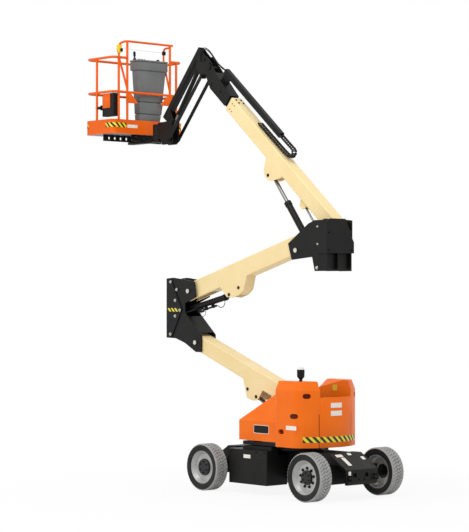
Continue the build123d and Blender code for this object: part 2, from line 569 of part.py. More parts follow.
for place in (LOWER_FRONT_PIN, MID_FRONT_PIN):
    upright += cross_pin(place, across[0] - 10, across[1], TOWER_PIN_RADIUS)
upright += cross_pin(MID_LIFT[0], *across, MID_LIFT_PIN)
save("lower_upright", upright)

# Mid boom: box section with a lift lug below and a slot for the raised cylinder.
# Its rear pin is under the centre line.
start = step_along(MID_FRONT_PIN, MID_AIM, -100)
end = step_along(MID_FRONT_PIN, MID_AIM, math.hypot(MID_REACH, MID_RISE) + 278)
mid = box_tube(start, end, MID_DEPTH, MID_WIDTH, TOWER_Y, BOOM_WALL, BOOM_CORNER)
lug_steps = [(680, -100), (800, -320), (930, -375), (1090, -375), (1220, -330), (1370, -100)]
lug_shape = beside(MID_FRONT_PIN, MID_AIM, lug_steps)
for y_low in (TOWER_Y - MID_WIDTH / 2, TOWER_Y + MID_WIDTH / 2 - 22):
    mid += rounded_plate(lug_shape, 30, y_low, y_low + 22)
back_steps = [(1090, -372), (1215, -330), (1365, -100), (1350, -100), (1205, -318), (1090, -358)]
lug_back = beside(MID_FRONT_PIN, MID_AIM, back_steps)
mid += plate(lug_back, TOWER_Y - MID_WIDTH / 2 + 10, TOWER_Y + MID_WIDTH / 2 - 10)
for place in (MID_FRONT_PIN, MID_REAR_PIN):
    mid += cross_pin(place, TOWER_Y - MID_WIDTH / 2, TOWER_Y + MID_WIDTH / 2, 70)
slot = beside(MID_FRONT_PIN, MID_AIM, [(-120, -170), (480, -170), (480, -130), (0, -42), (-120, -8)])
mid -= plate(slot, TOWER_Y - 62, TOWER_Y + 62)
for place in (MID_FRONT_PIN, MID_REAR_PIN):
    mid -= cross_pin(place, TOWER_Y - MID_WIDTH, TOWER_Y + MID_WIDTH, TOWER_PIN_RADIUS + RUNNING_GAP)
save("mid_boom", mid)

# Upper upright: cheeks for the mid boom on the left, cheeks for the main boom on the right
mid_near = TOWER_Y - MID_WIDTH / 2 - SIDE_GAP - UPRIGHT_PLATE
mid_far = TOWER_Y + MID_WIDTH / 2 + SIDE_GAP / 2
arm_steps = [(-171, 104), (-93, -143), (355, -103), (410, -317), (668, -317), (668, -50), (685, -30)]
arm_steps += [(670, 447), (410, 447), (270, 397)]
upper = rounded_plate(outline_at(MID_REAR_PIN, arm_steps), 8, mid_near, mid_near + UPRIGHT_PLATE)
post_steps = [(-170, -3), (-110, -63), (410, -103), (410, -317), (668, -317), (668, -50), (685, -30)]
post_steps += [(685, 447), (390, 477), (70, 387), (-170, 127)]
post = outline_at(MID_REAR_PIN, post_steps)
far_cheek = MAIN_Y + MAIN_WIDTH / 2 + SIDE_GAP
upper += rounded_plate(post, 8, mid_far, mid_far + 18)
upper += rounded_plate(post, 8, far_cheek, far_cheek + UPRIGHT_PLATE)
rear_x = MID_REAR_PIN[0] + 685
back_y = (mid_near, far_cheek + UPRIGHT_PLATE)
upper += block((rear_x - 45, rear_x), back_y, (MID_REAR_PIN[1] - 30, MID_REAR_PIN[1] + 297))
upper += block((rear_x - 110, rear_x - 70), back_y, (MID_REAR_PIN[1] - 283, MID_REAR_PIN[1] - 20))
upper += cross_pin(MID_REAR_PIN, mid_near - 10, mid_far + 18, TOWER_PIN_RADIUS)
upper += cross_pin(MAIN_PIVOT, mid_far, far_cheek + UPRIGHT_PLATE + 10, PIVOT_PIN_RADIUS)
upper += cross_pin(MAIN_LIFT[0], mid_far, far_cheek + UPRIGHT_PLATE, MAIN_LIFT_PIN)
upper += cross_pin(LEVEL_LIFT[0], mid_far, far_cheek + UPRIGHT_PLATE, LEVEL_PIN)
save("upper_upright", upper)

# Rear cover of the upper upright: folded shell with a notched edge and two side flanges
COVER_WALL = 10
COVER_SIDE, COVER_LOW = 290, -50
cover_steps = [(-COVER_SIDE, COVER_LOW), (COVER_SIDE, COVER_LOW), (COVER_SIDE, 117), (225, 227), (175, 227)]
cover_steps += [(215, 277), (110, 467), (-200, 467), (-COVER_SIDE, 427)]
places = [(rear_x, y, MID_REAR_PIN[1] + rise) for y, rise in cover_steps]
cover = extrude(make_face(Polyline(*places, close=True)), amount=COVER_WALL, dir=(1, 0, 0))
for reach, y, high in ((215, -COVER_SIDE, 427), (120, COVER_SIDE - COVER_WALL, 117)):
    flange_z = (MID_REAR_PIN[1] + COVER_LOW, MID_REAR_PIN[1] + high)
    cover += block((rear_x - reach, rear_x + COVER_WALL), (y, y + COVER_WALL), flange_z)
save("upright_cover", cover)

# Main boom: base section with two lugs below and wear pads at its mouth
boom_start = step_along(MAIN_PIVOT, MAIN_TIP, -80)
boom = box_tube(boom_start, MAIN_TIP, MAIN_DEPTH, MAIN_WIDTH, MAIN_Y, BOOM_WALL, BOOM_CORNER)
lug_steps = [(1270, -90), (1460, -325), (1530, -352), (1610, -352), (1690, -300), (1790, -90)]
lug_shape = beside(MAIN_PIVOT, MAIN_TIP, lug_steps)
small_lug = beside(MAIN_PIVOT, MAIN_TIP, [(590, -90), (650, -240), (740, -240), (820, -90)])
for y_low in (MAIN_Y - MAIN_WIDTH / 2, MAIN_Y + MAIN_WIDTH / 2 - 20):
    boom += rounded_plate(lug_shape, 30, y_low, y_low + 20)
for y_low in (MAIN_Y - 60, MAIN_Y + 42):
    boom += rounded_plate(small_lug, 20, y_low, y_low + 18)
for low, high in (
    (-MAIN_DEPTH / 2 + BOOM_WALL / 2, -FLY_DEPTH / 2 - SLIDE_GAP),
    (FLY_DEPTH / 2 + SLIDE_GAP, MAIN_DEPTH / 2 - BOOM_WALL / 2),
):
    ends = (MAIN_LENGTH - 140, MAIN_LENGTH - 20)
    pad = beside(MAIN_PIVOT, MAIN_TIP, [(ends[0], low), (ends[1], low), (ends[1], high), (ends[0], high)])
    boom += plate(pad, MAIN_Y - 60, MAIN_Y + 60)
boom += cross_pin(MAIN_PIVOT, MAIN_Y - MAIN_WIDTH / 2, MAIN_Y + MAIN_WIDTH / 2, 75)
boom -= cross_pin(MAIN_PIVOT, MAIN_Y - MAIN_WIDTH, MAIN_Y + MAIN_WIDTH, PIVOT_PIN_RADIUS + RUNNING_GAP)
save("main_boom", boom)

# Fly boom: inner section that slides out of the main boom, with a deeper nose
fly_start = step_along(MAIN_PIVOT, MAIN_TIP, MAIN_LENGTH - FLY_STROKE - 300)
fly_end = step_along(MAIN_PIVOT, MAIN_TIP, MAIN_LENGTH + 160)
fly = box_tube(fly_start, fly_end, FLY_DEPTH, FLY_WIDTH, MAIN_Y, BOOM_WALL, BOOM_CORNER)
nose_back, nose_front = MAIN_LENGTH + 60, FLY_NOSE - 160
nose_steps = [(nose_back, -FLY_DEPTH / 2), (FLY_NOSE - 230, -FLY_DEPTH / 2), (FLY_NOSE - 15, 0)]
nose_steps += [(FLY_NOSE + 110, 215), (nose_back, 110)]
for y_low in (MAIN_Y - 95, MAIN_Y + 77):
    fly += rounded_plate(beside(MAIN_PIVOT, MAIN_TIP, nose_steps), 15, y_low, y_low + 18)


def nose_top(distance):
    # Height of the sloped nose top above the boom's centre line.
    return 110 + 70 * (distance - nose_back) / (nose_front - nose_back)


top_steps = [(nose_back, 90), (nose_back, 110), (nose_front, 180), (nose_front, 160)]
fly += plate(beside(MAIN_PIVOT, MAIN_TIP, top_steps), MAIN_Y - 95, MAIN_Y + 95)
fly += cross_pin(LEVEL_PIVOT, MAIN_Y - 103, MAIN_Y + 103, 30)
save("fly_boom", fly)

# Cable carrier: square tube that rides on the fly nose above the boom
CARRIER_SIZE, CARRIER_HEIGHT = 90, 300
carrier_reach = (FLY_NOSE - 1980, FLY_NOSE - 280)
carrier_ends = [step_along(MAIN_PIVOT, MAIN_TIP, d, CARRIER_HEIGHT) for d in carrier_reach]
carrier = box_tube(*carrier_ends, CARRIER_SIZE, CARRIER_SIZE, MAIN_Y, 5, 12)
foot_ends = (FLY_NOSE - 430, FLY_NOSE - 300)
foot_steps = [(d, nose_top(d)) for d in foot_ends]
foot_steps += [(d, CARRIER_HEIGHT - CARRIER_SIZE / 2 + 3) for d in foot_ends[::-1]]
carrier += plate(beside(MAIN_PIVOT, MAIN_TIP, foot_steps), MAIN_Y - 30, MAIN_Y + 30)
save("cable_carrier", carrier)

# Jib: level bracket, box arm above, flat links outside, end bracket with the rotator
EAR_Y, BRACKET_Y, LINK_Y = (46, 58), (61, 73), (101, 113)


def both_sides(shape_at, y_pair):
    # The same flat piece on both sides of the jib plane.
    near = shape_at(MAIN_Y - y_pair[1], MAIN_Y - y_pair[0])
    far = shape_at(MAIN_Y + y_pair[0], MAIN_Y + y_pair[1])
    return near, far


def add_pins(shape, places):
    # Short pins on both sides of the jib plane.
    for place, y_pair in places:
        for pin in both_sides(lambda low, high: cross_pin(place, low, high, JIB_PIN_RADIUS), y_pair):
            shape += pin
    return shape


bracket_steps = [(40, 60), (40, -50), (-130, -170), (-220, -160), (-350, 40), (-350, 130)]
bracket_steps += [(-190, 200), (-90, 190)]
bracket = outline_at(LEVEL_PIVOT, bracket_steps)
near, far = both_sides(lambda low, high: rounded_plate(bracket, 15, low, high), BRACKET_Y)
jib_base = near + far
tie_x = (LEVEL_PIVOT[0] - 110, LEVEL_PIVOT[0] - 70)
tie_y = (MAIN_Y - BRACKET_Y[1], MAIN_Y + BRACKET_Y[1])
jib_base += block(tie_x, tie_y, (LEVEL_PIVOT[1] - 115, LEVEL_PIVOT[1] - 65))
pin_reach = (EAR_Y[0], BRACKET_Y[1] + 8), (BRACKET_Y[0], LINK_Y[1] + 8)
jib_base = add_pins(jib_base, ((JIB_ARM_PIN, pin_reach[0]), (JIB_LINK_PIN, pin_reach[1])))
jib_base += cross_pin(JIB_LIFT[0], *tie_y, JIB_LIFT_PIN)
jib_base -= cross_pin(LEVEL_PIVOT, MAIN_Y - 200, MAIN_Y + 200, 30 + RUNNING_GAP)
save("jib_base", jib_base)

arm_start = step_along(JIB_ARM_PIN, ARM_END, -60, ARM_OFFSET)
arm_stop = step_along(ARM_END, JIB_ARM_PIN, -60, ARM_OFFSET)
arm = box_tube(arm_start, arm_stop, ARM_DEPTH, ARM_WIDTH, MAIN_Y, ARM_WALL, 14)
for start, end in ((JIB_ARM_PIN, ARM_END), (ARM_END, JIB_ARM_PIN)):
    ear = beside(start, end, [(-45, -40), (-60, ARM_OFFSET + 40), (160, ARM_OFFSET + 40), (50, -40)])
    for piece in both_sides(lambda low, high: rounded_plate(ear, 15, low, high), EAR_Y):
        arm += piece
    arm -= cross_pin(start, MAIN_Y - 200, MAIN_Y + 200, JIB_PIN_RADIUS + RUNNING_GAP)
save("jib_arm", arm)

link_steps = [(-35, -LINK_DEPTH / 2), (JIB_LENGTH + 35, -LINK_DEPTH / 2)]
link_steps += [(JIB_LENGTH + 35, LINK_DEPTH / 2), (-35, LINK_DEPTH / 2)]
link_outline = beside(JIB_LINK_PIN, LINK_END, link_steps)
bars = []
for bar in both_sides(lambda low, high: rounded_plate(link_outline, 25, low, high), LINK_Y):
    for place in (JIB_LINK_PIN, LINK_END):
        bar -= cross_pin(place, MAIN_Y - 200, MAIN_Y + 200, JIB_PIN_RADIUS + RUNNING_GAP)
    bars.append(bar)
save("jib_link", Compound(bars))

ROTATOR_X = ARM_END[0] - ROTATOR_REACH
ROTATOR_Z = (ARM_END[1] - 252, ARM_END[1] + 8)
end_steps = [(30, -292), (30, 48), (-40, 48), (-350, 28), (-350, -240), (-290, -240)]
end_steps += [(-240, -342), (-30, -342)]
end_plate = outline_at(ARM_END, end_steps)
near, far = both_sides(lambda low, high: rounded_plate(end_plate, 15, low, high), BRACKET_Y)
jib_end = near + far
jib_end = add_pins(jib_end, ((ARM_END, pin_reach[0]), (LINK_END, pin_reach[1])))
jib_end += block((ARM_END[0] - 350, ARM_END[0] - 335), tie_y, (ARM_END[1] - 220, ARM_END[1] + 10))
jib_end += rod((ROTATOR_X, MAIN_Y, ROTATOR_Z[0]), (ROTATOR_X, MAIN_Y, ROTATOR_Z[1]), ROTATOR_RADIUS)
save("jib_end", jib_end)

# Platform support: turns on the rotator and carries the floor from below on drilled beams
PLATFORM_X = (ROTATOR_X - PLATFORM_SETBACK - PLATFORM_DEPTH, ROTATOR_X - PLATFORM_SETBACK)
PLATFORM_Y = (MAIN_Y - PLATFORM_WIDTH / 2, MAIN_Y + PLATFORM_WIDTH / 2)
SKIRT_BOTTOM = ARM_END[1] - PLATFORM_DROP
support_top = ROTATOR_Z[0] - SLIDE_GAP
support = rod((ROTATOR_X, MAIN_Y, support_top - 40), (ROTATOR_X, MAIN_Y, support_top), ROTATOR_RADIUS + 7)
arm_x = (PLATFORM_X[0] + 130, ROTATOR_X)
support += block(arm_x, (MAIN_Y - 60, MAIN_Y + 60), (support_top - 40, support_top))
for x in (PLATFORM_X[0] + 150, PLATFORM_X[0] + 350, PLATFORM_X[0] + 550, PLATFORM_X[0] + 710):
    beam = block((x - 15, x + 15), (PLATFORM_Y[0] + 70, PLATFORM_Y[1] - 70), (support_top, SKIRT_BOTTOM))
    for number in range(-3, 4):
        centre = (MAIN_Y + number * 190, (support_top + SKIRT_BOTTOM) / 2)
        if abs(number) > 0:
            beam -= rod((x - 30, *centre), (x + 30, *centre), 30)
    support += beam
save("platform_support", support)


# Platform floor and toe boards with rounded corners
def rounded_slab(z_low, z_high, inset):
    sketch = RectangleRounded(PLATFORM_DEPTH - 2 * inset, PLATFORM_WIDTH - 2 * inset, CORNER_RADIUS - inset)
    place = Pos(sum(PLATFORM_X) / 2, sum(PLATFORM_Y) / 2, z_low)
    return extrude(place * sketch, amount=z_high - z_low)


FLOOR_TOP = SKIRT_BOTTOM + FLOOR_RISE
save("platform_floor", rounded_slab(SKIRT_BOTTOM, FLOOR_TOP, SKIRT_WALL))
skirt = rounded_slab(SKIRT_BOTTOM, SKIRT_BOTTOM + SKIRT_HEIGHT, 0)
skirt -= rounded_slab(SKIRT_BOTTOM - 5, SKIRT_BOTTOM + SKIRT_HEIGHT + 5, SKIRT_WALL)
save("platform_skirt", skirt)

# Platform rails: top and mid rail hoops on posts, a raised arch and two guard tubes beside the console
x_low, x_high = PLATFORM_X[0] + RAIL_INSET, PLATFORM_X[1] - RAIL_INSET
y_low, y_high = PLATFORM_Y[0] + RAIL_INSET, PLATFORM_Y[1] - RAIL_INSET
x_mid = (x_low + x_high) / 2
TOP_RAIL_Z, MID_RAIL_Z = SKIRT_BOTTOM + TOP_RAIL_RISE, SKIRT_BOTTOM + MID_RAIL_RISE
ARCH_Z = SKIRT_BOTTOM + ARCH_RISE
ARCH_Y = (MAIN_Y - 440, MAIN_Y + 484)


def bent_tube(places, radius, bend):
    # Round tube along straight runs with rounded bends.
    path = FilletPolyline(*places, radius=bend)
    return sweep(Plane(origin=path @ 0, z_dir=path % 0) * Circle(radius), path=path)


def hoop(z):
    # Closed rail around the platform.
    path = RectangleRounded(x_high - x_low, y_high - y_low, CORNER_RADIUS).edges()
    wire = Pos(x_mid, (y_low + y_high) / 2, z) * Wire(path)
    return sweep(Plane(origin=wire @ 0, z_dir=wire % 0) * Circle(RAIL_RADIUS), path=wire)


rails = hoop(TOP_RAIL_Z) + hoop(MID_RAIL_Z)
post_y = (y_low + CORNER_RADIUS + 25, *ARCH_Y, y_high - CORNER_RADIUS - 25)
post_places = [(x, y) for x in (x_low, x_high) for y in post_y]
post_places += [(x_mid, y_low), (x_mid, y_high)]
for x, y in post_places:
    rails += rod((x, y, FLOOR_TOP), (x, y, TOP_RAIL_Z - 5), POST_RADIUS)
arch = [(x_high, ARCH_Y[0], TOP_RAIL_Z + 4), (x_high, ARCH_Y[0], ARCH_Z)]
arch += [(x_high, ARCH_Y[1], ARCH_Z), (x_high, ARCH_Y[1], TOP_RAIL_Z + 4)]
rails += bent_tube(arch, ARCH_RADIUS, 60)
for y in ARCH_Y:
    guard = [(x_high, y, ARCH_Z - 62), (x_high - 170, y, ARCH_Z - 40)]
    guard += [(x_high - 170, y, ARCH_Z - 280), (x_high, y, MID_RAIL_Z + 65)]
    rails += bent_tube(guard, GUARD_RADIUS, 55)
save("platform_rails", rails)

# Operator console on its pedestal inside the jib side of the platform
console_x = (x_high - 266, x_high - 28)
console_y = (MAIN_Y - 120, ARCH_Y[1] - GUARD_RADIUS - 17)
console_z = (TOP_RAIL_Z - 218, TOP_RAIL_Z - 88)
console = block(console_x, console_y, console_z)
console = fillet(console.edges().filter_by(Axis.Z), 30)
console_mid = (sum(console_x) / 2, sum(console_y) / 2)
foot = Pos(console_mid[0] + 5, console_mid[1] - 20, FLOOR_TOP) * RectangleRounded(170, 260, 20)
neck = Pos(console_mid[0], console_mid[1] - 10, console_z[0]) * RectangleRounded(210, 500, 20)
console += loft([foot, neck])
save("console", console)

# Document box at the near end, hung between toe board and mid rail
box_y = y_low + POST_RADIUS
papers = block((x_mid + 40, x_mid + 340), (box_y + 2, box_y + 104), (SKIRT_BOTTOM + 290, MID_RAIL_Z - 25))
hanger_x = (x_mid - POST_RADIUS, x_mid + 60)
papers += block(hanger_x, (box_y, box_y + 24), (SKIRT_BOTTOM + 400, SKIRT_BOTTOM + 480))
save("document_box", papers)


# Hydraulic cylinders: a barrel on its base pin and a polished rod that ends in an eye
def hydraulic_cylinder(name, pins, y_centre, bore, rod_radius, barrel_end, eye_width, pin_radius, closing):
    # barrel_end is where the gland stops and closing is how far the rod still moves in from this pose.
    base, eye = pins

    def axis_point(distance):
        x, z = step_along(base, eye, distance)
        return (x, y_centre, z)

    y_low, y_high = y_centre - eye_width / 2, y_centre + eye_width / 2
    floor = pin_radius * 1.5
    span = math.dist(base, eye)
    barrel = rod(axis_point(bore * 0.6), axis_point(barrel_end), bore)
    barrel += rod(axis_point(barrel_end - bore * 1.2), axis_point(barrel_end), bore * 1.12)
    barrel += cross_pin(base, y_low, y_high, bore * 1.05)
    barrel -= rod(axis_point(floor), axis_point(span), rod_radius + RUNNING_GAP)
    barrel -= cross_pin(base, y_low - 5, y_high + 5, pin_radius + RUNNING_GAP)
    save(f"{name}_barrel", barrel)
    shaft = rod(axis_point(floor + closing + 15), axis_point(span - rod_radius), rod_radius)
    shaft += cross_pin(eye, y_low, y_high, rod_radius * 1.4)
    save(f"{name}_rod", shaft)


hydraulic_cylinder("lower_lift", LOWER_LIFT, TOWER_Y, 52, 32, 1000, 90, LOWER_LIFT_PIN, 186)
hydraulic_cylinder("mid_lift", MID_LIFT, TOWER_Y, 48, 28, 1010, 90, MID_LIFT_PIN, 80)
hydraulic_cylinder("main_lift", MAIN_LIFT, MAIN_Y, 52, 30, 980, 90, MAIN_LIFT_PIN, 430)
hydraulic_cylinder("level", LEVEL_LIFT, MAIN_Y, 32, 16, 540, 60, LEVEL_PIN, 260)
hydraulic_cylinder("jib_lift", JIB_LIFT, MAIN_Y, 36, 24, 960, 60, JIB_LIFT_PIN, 370)
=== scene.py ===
# Electric articulating boom lift in a studio, dressed around its CAD frame.
# Metres, ground at Z = 0, slew axis at X = Y = 0, the boom points to -X and the left side is -Y.
import json
import math

import bpy
from mathutils import Matrix, Vector


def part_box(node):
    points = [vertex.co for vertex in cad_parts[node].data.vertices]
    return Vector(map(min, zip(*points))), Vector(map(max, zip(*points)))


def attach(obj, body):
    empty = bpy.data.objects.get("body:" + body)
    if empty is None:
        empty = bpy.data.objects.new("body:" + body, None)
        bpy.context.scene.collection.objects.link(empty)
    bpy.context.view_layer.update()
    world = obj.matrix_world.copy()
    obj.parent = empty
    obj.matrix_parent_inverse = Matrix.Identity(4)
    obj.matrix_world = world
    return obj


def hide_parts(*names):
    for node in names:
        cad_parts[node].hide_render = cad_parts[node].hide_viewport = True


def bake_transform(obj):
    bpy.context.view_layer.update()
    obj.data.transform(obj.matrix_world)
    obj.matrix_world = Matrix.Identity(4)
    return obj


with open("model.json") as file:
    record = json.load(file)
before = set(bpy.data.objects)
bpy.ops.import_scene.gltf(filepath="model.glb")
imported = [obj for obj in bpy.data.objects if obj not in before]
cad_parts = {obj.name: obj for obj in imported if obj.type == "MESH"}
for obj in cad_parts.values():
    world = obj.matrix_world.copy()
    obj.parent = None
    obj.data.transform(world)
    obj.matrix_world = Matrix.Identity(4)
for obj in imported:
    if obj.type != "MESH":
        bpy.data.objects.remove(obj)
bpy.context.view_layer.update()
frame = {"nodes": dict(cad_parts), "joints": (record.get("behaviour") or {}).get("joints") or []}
nodes = frame["nodes"]
joints = {joint["name"]: joint for joint in frame["joints"]}

# Studio
# A white sweep under broad soft light, as in a catalogue: one large lamp above and a lower one on the left.
# The floor turns almost white for the camera and still takes the shadow under the machine.
scene = bpy.context.scene
scene.view_settings.view_transform = "Standard"
WHITE = (1.0, 1.0, 1.0, 1.0)
FLOOR_GREY = (0.86, 0.86, 0.86, 1.0)
SKY_LIGHT = 0.69
FLOOR_GLOW = {"From Min": 2.2, "From Max": 5.5, "To Min": 0.90, "To Max": 1.0}


def area_lamp(name, place, target, size, energy):
    bpy.ops.object.light_add(type="AREA", location=place)
    lamp = bpy.context.object
    lamp.name = name
    lamp.rotation_euler = (Vector(target) - Vector(place)).to_track_quat("-Z", "Y").to_euler()
    lamp.data.size = size
    lamp.data.energy = energy


def add_node(tree, kind, sockets=None, **settings):
    # New shader node with its settings and the values of its input sockets.
    node = tree.nodes.new("ShaderNode" + kind)
    for name, value in settings.items():
        setattr(node, name, value)
    for socket, value in (sockets or {}).items():
        node.inputs[socket].default_value = value
    return node


def connect(tree, *wires):
    # Wires between shader nodes, each from a node's output to another node's input.
    for source, output, target, socket in wires:
        tree.links.new(source.outputs[output], target.inputs[socket])


def new_material(name):
    # Empty node material, ready for its shader.
    material = bpy.data.materials.new(name)
    material.use_nodes = True
    material.node_tree.nodes.clear()
    return material


bpy.ops.object.select_all(action="DESELECT")
area_lamp("lamp_above", (3.0, -6.0, 14.0), (-0.5, 0.0, 3.0), 9.0, 820)
area_lamp("lamp_left", (-7.0, -15.0, 6.0), (-0.5, 0.0, 3.2), 8.0, 220)

scene.world = bpy.data.worlds.new("white_studio")
scene.world.use_nodes = True
sky = scene.world.node_tree
background = sky.nodes["Background"]
background.inputs["Color"].default_value = WHITE
path = add_node(sky, "LightPath")
direct = add_node(sky, "Math", operation="MAXIMUM")
seen = add_node(sky, "Math", operation="MAXIMUM")
level = add_node(sky, "MapRange", {"To Min": SKY_LIGHT, "To Max": 1.0})
connect(
    sky,
    (path, "Is Camera Ray", direct, 0), (path, "Is Glossy Ray", direct, 1),
    (direct, "Value", seen, 0), (path, "Is Transmission Ray", seen, 1),
    (seen, "Value", level, "Value"), (level, "Result", background, "Strength"),
)

bpy.ops.mesh.primitive_plane_add(size=160, location=(0, 0, -0.001))
floor = bpy.context.object
floor.name = "studio_floor"
white = new_material("studio_white")
sheet = white.node_tree
matte = add_node(sheet, "BsdfDiffuse", {"Color": FLOOR_GREY})
glow = add_node(sheet, "Emission", {"Strength": 1.0})
ray = add_node(sheet, "LightPath")
bright_ray = add_node(sheet, "Math", operation="MAXIMUM")
spot = add_node(sheet, "TexCoord")
reach = add_node(sheet, "VectorMath", operation="LENGTH")
fade = add_node(sheet, "MapRange", FLOOR_GLOW)
share = add_node(sheet, "Math", operation="MULTIPLY")
blend = add_node(sheet, "MixShader")
sheet_out = add_node(sheet, "OutputMaterial")
connect(
    sheet,
    (spot, "Object", reach, 0), (reach, "Value", fade, "Value"),
    (ray, "Is Camera Ray", bright_ray, 0), (ray, "Is Glossy Ray", bright_ray, 1),
    (bright_ray, "Value", share, 0), (fade, "Result", share, 1), (share, "Value", blend, "Fac"),
    (matte, "BSDF", blend, 1), (glow, "Emission", blend, 2), (blend, "Shader", sheet_out, "Surface"),
)
floor.data.materials.append(white)

# Camera
# A long lens thirty metres away from the machine's left rear corner, three metres above the ground.
CAMERA_PLACE = Vector((21.697, -20.613, 3.13))
CAMERA_HEADING = math.radians(138.32)
CAMERA_PITCH = math.radians(0.65)
camera_data = bpy.data.cameras.new("camera")
camera_data.lens = 132.28
camera_data.clip_end = 400
camera = bpy.data.objects.new("camera", camera_data)
scene.collection.objects.link(camera)
camera.location = CAMERA_PLACE
look = Vector((
    math.cos(CAMERA_HEADING) * math.cos(CAMERA_PITCH),
    math.sin(CAMERA_HEADING) * math.cos(CAMERA_PITCH),
    math.sin(CAMERA_PITCH),
))
camera.rotation_euler = look.to_track_quat("-Z", "Y").to_euler()
scene.camera = camera

# Paint
# The booms are sprayed cream over steel, the tower, chassis and jib satin black.
# The covers are moulded in orange, and the platform is of orange tube.
# Every finish has slow cloudy shifts of tone and the fine grain of a sprayed or moulded skin.
mottle = bpy.data.node_groups.new("skin_mottle", "ShaderNodeTree")
for way, sockets in (("INPUT", ("Cloud Scale", "Grain Scale")), ("OUTPUT", ("Cloud", "Grain"))):
    for socket in sockets:
        mottle.interface.new_socket(socket, in_out=way, socket_type="NodeSocketFloat")
group_in = mottle.nodes.new("NodeGroupInput")
group_out = mottle.nodes.new("NodeGroupOutput")
place = add_node(mottle, "TexCoord")
cloud = add_node(mottle, "TexNoise", {"Detail": 5.0})
grain = add_node(mottle, "TexNoise", {"Detail": 2.0})
spread = add_node(mottle, "MapRange", {"From Min": 0.3, "From Max": 0.7})
connect(
    mottle,
    (place, "Object", cloud, "Vector"), (group_in, "Cloud Scale", cloud, "Scale"),
    (place, "Object", grain, "Vector"), (group_in, "Grain Scale", grain, "Scale"),
    (cloud, "Fac", spread, "Value"), (spread, "Result", group_out, "Cloud"),
    (grain, "Fac", group_out, "Grain"),
)


def srgb(code):
    # Linear colour from a six-digit colour code.
    channels = [int(code[i:i + 2], 16) / 255 for i in (0, 2, 4)]
    linear = [c / 12.92 if c <= 0.04045 else ((c + 0.055) / 1.055) ** 2.4 for c in channels]
    return (*linear, 1.0)


def finish(name, light, dark, rough, cloud_scale=2.5, grain_scale=260.0, bump=0.06, metallic=0.0, shine=0.5):
    # Skin that drifts between two tones, with roughness and a fine grain from the same noise.
    material = new_material(name)
    tree = material.node_tree
    skin = add_node(tree, "Group", {"Cloud Scale": cloud_scale, "Grain Scale": grain_scale}, node_tree=mottle)
    tone = add_node(tree, "Mix", {"A": srgb(dark), "B": srgb(light)}, data_type="RGBA")
    gloss = add_node(tree, "MapRange", {"To Min": rough + 0.06, "To Max": rough - 0.04})
    grit = add_node(tree, "Bump", {"Strength": bump, "Distance": 0.002})
    shader = add_node(tree, "BsdfPrincipled", {"Metallic": metallic, "Specular IOR Level": shine})
    out = add_node(tree, "OutputMaterial")
    connect(
        tree,
        (skin, "Cloud", tone, "Factor"), (tone, "Result", shader, "Base Color"),
        (skin, "Cloud", gloss, "Value"), (gloss, "Result", shader, "Roughness"),
        (skin, "Grain", grit, "Height"), (grit, "Normal", shader, "Normal"), (shader, "BSDF", out, "Surface"),
    )
    return material


def coat_node(name, material):
    # Gives a CAD node its finish.
    mesh = nodes[name].data
    mesh.materials.clear()
    mesh.materials.append(material)


cream = finish("cream_paint", "F8E2AC", "F4DAA1", 0.42, shine=0.3)
black = finish("black_paint", "141312", "0E0D0C", 0.46, bump=0.1, shine=0.2)
orange = finish("orange_cover", "FC7812", "F46E0C", 0.36, grain_scale=420.0, shine=0.2)
orange_tube = finish("orange_tube", "F86C0C", "EA5E06", 0.38, grain_scale=600.0, shine=0.2)
rubber_black = finish("black_rubber", "1F1F1F", "161616", 0.62, grain_scale=500.0, bump=0.2, shine=0.3)
chrome = finish("rod_chrome", "888886", "7A7A78", 0.26, grain_scale=900.0, bump=0.02, metallic=1.0)
zinc = finish("zinc_plate", "D8D6CE", "C2C0B8", 0.32, cloud_scale=30.0, metallic=0.7)
console_grey = finish("console_grey", "767878", "6A6C6C", 0.55, grain_scale=380.0, bump=0.18, shine=0.3)
tread_plate = finish("floor_alloy", "8F9092", "7C7D80", 0.45, cloud_scale=12.0, metallic=0.8)

for name in nodes:
    coat_node(name, chrome if name.endswith("_rod") else black)
for material, names in (
    (cream, ("lower_boom", "mid_boom", "main_boom")),
    (orange, ("hood_left", "hood_right", "tail_cover", "front_hood_left", "front_hood_right")),
    (orange_tube, ("platform_rails", "platform_skirt")),
    (console_grey, ("console",)),
    (tread_plate, ("platform_floor",)),
):
    for name in names:
        coat_node(name, material)

# Wheels
# Solid non-marking tyres of pale grey rubber: a dark sidewall and a tread of slanted blocks in three rows,
# the groove floors between the blocks painted a darker grey as shade.
# The dished steel rims are silver with a black hub, and nine black nuts hold each steered wheel.
TYRE_LOW, TYRE_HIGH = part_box("steer_left_tyre")
TYRE_RADIUS = (TYRE_HIGH.z - TYRE_LOW.z) / 2
TYRE_HALF = (TYRE_HIGH.y - TYRE_LOW.y) / 2
RIM_RADIUS = 0.268
GROOVE_DEPTH = 0.011
TREAD_CROWN = 0.0012
BLOCK_HEIGHT = GROOVE_DEPTH + 0.012
BLOCK_LENGTH = 0.036
BLOCKS = 44
TREAD_ROWS = ((-0.068, 0.084, 0.55, 0.0), (0.0, 0.058, -0.5, 0.5), (0.068, 0.084, 0.55, 0.0))
SIDEWALL_DROP = 0.017
BEVEL_ANGLE = 35


def clear_selection():
    bpy.ops.object.select_all(action="DESELECT")


def pick(piece):
    # Makes a piece the only selected one and the active one.
    clear_selection()
    piece.select_set(True)
    bpy.context.view_layer.objects.active = piece


def settle(piece, name, material, body):
    # Puts a finished piece's place into its mesh, names it, paints it and lets it ride on its body.
    pick(piece)
    bpy.ops.object.transform_apply()
    piece.name = name
    piece.data.name = name
    if material is not None:
        piece.data.materials.clear()
        piece.data.materials.append(material)
    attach(piece, body)
    return piece


def join(pieces):
    # One object from several, the first one kept.
    clear_selection()
    for piece in pieces:
        piece.select_set(True)
    bpy.context.view_layer.objects.active = pieces[0]
    if len(pieces) > 1:
        bpy.ops.object.join()
    return bpy.context.object


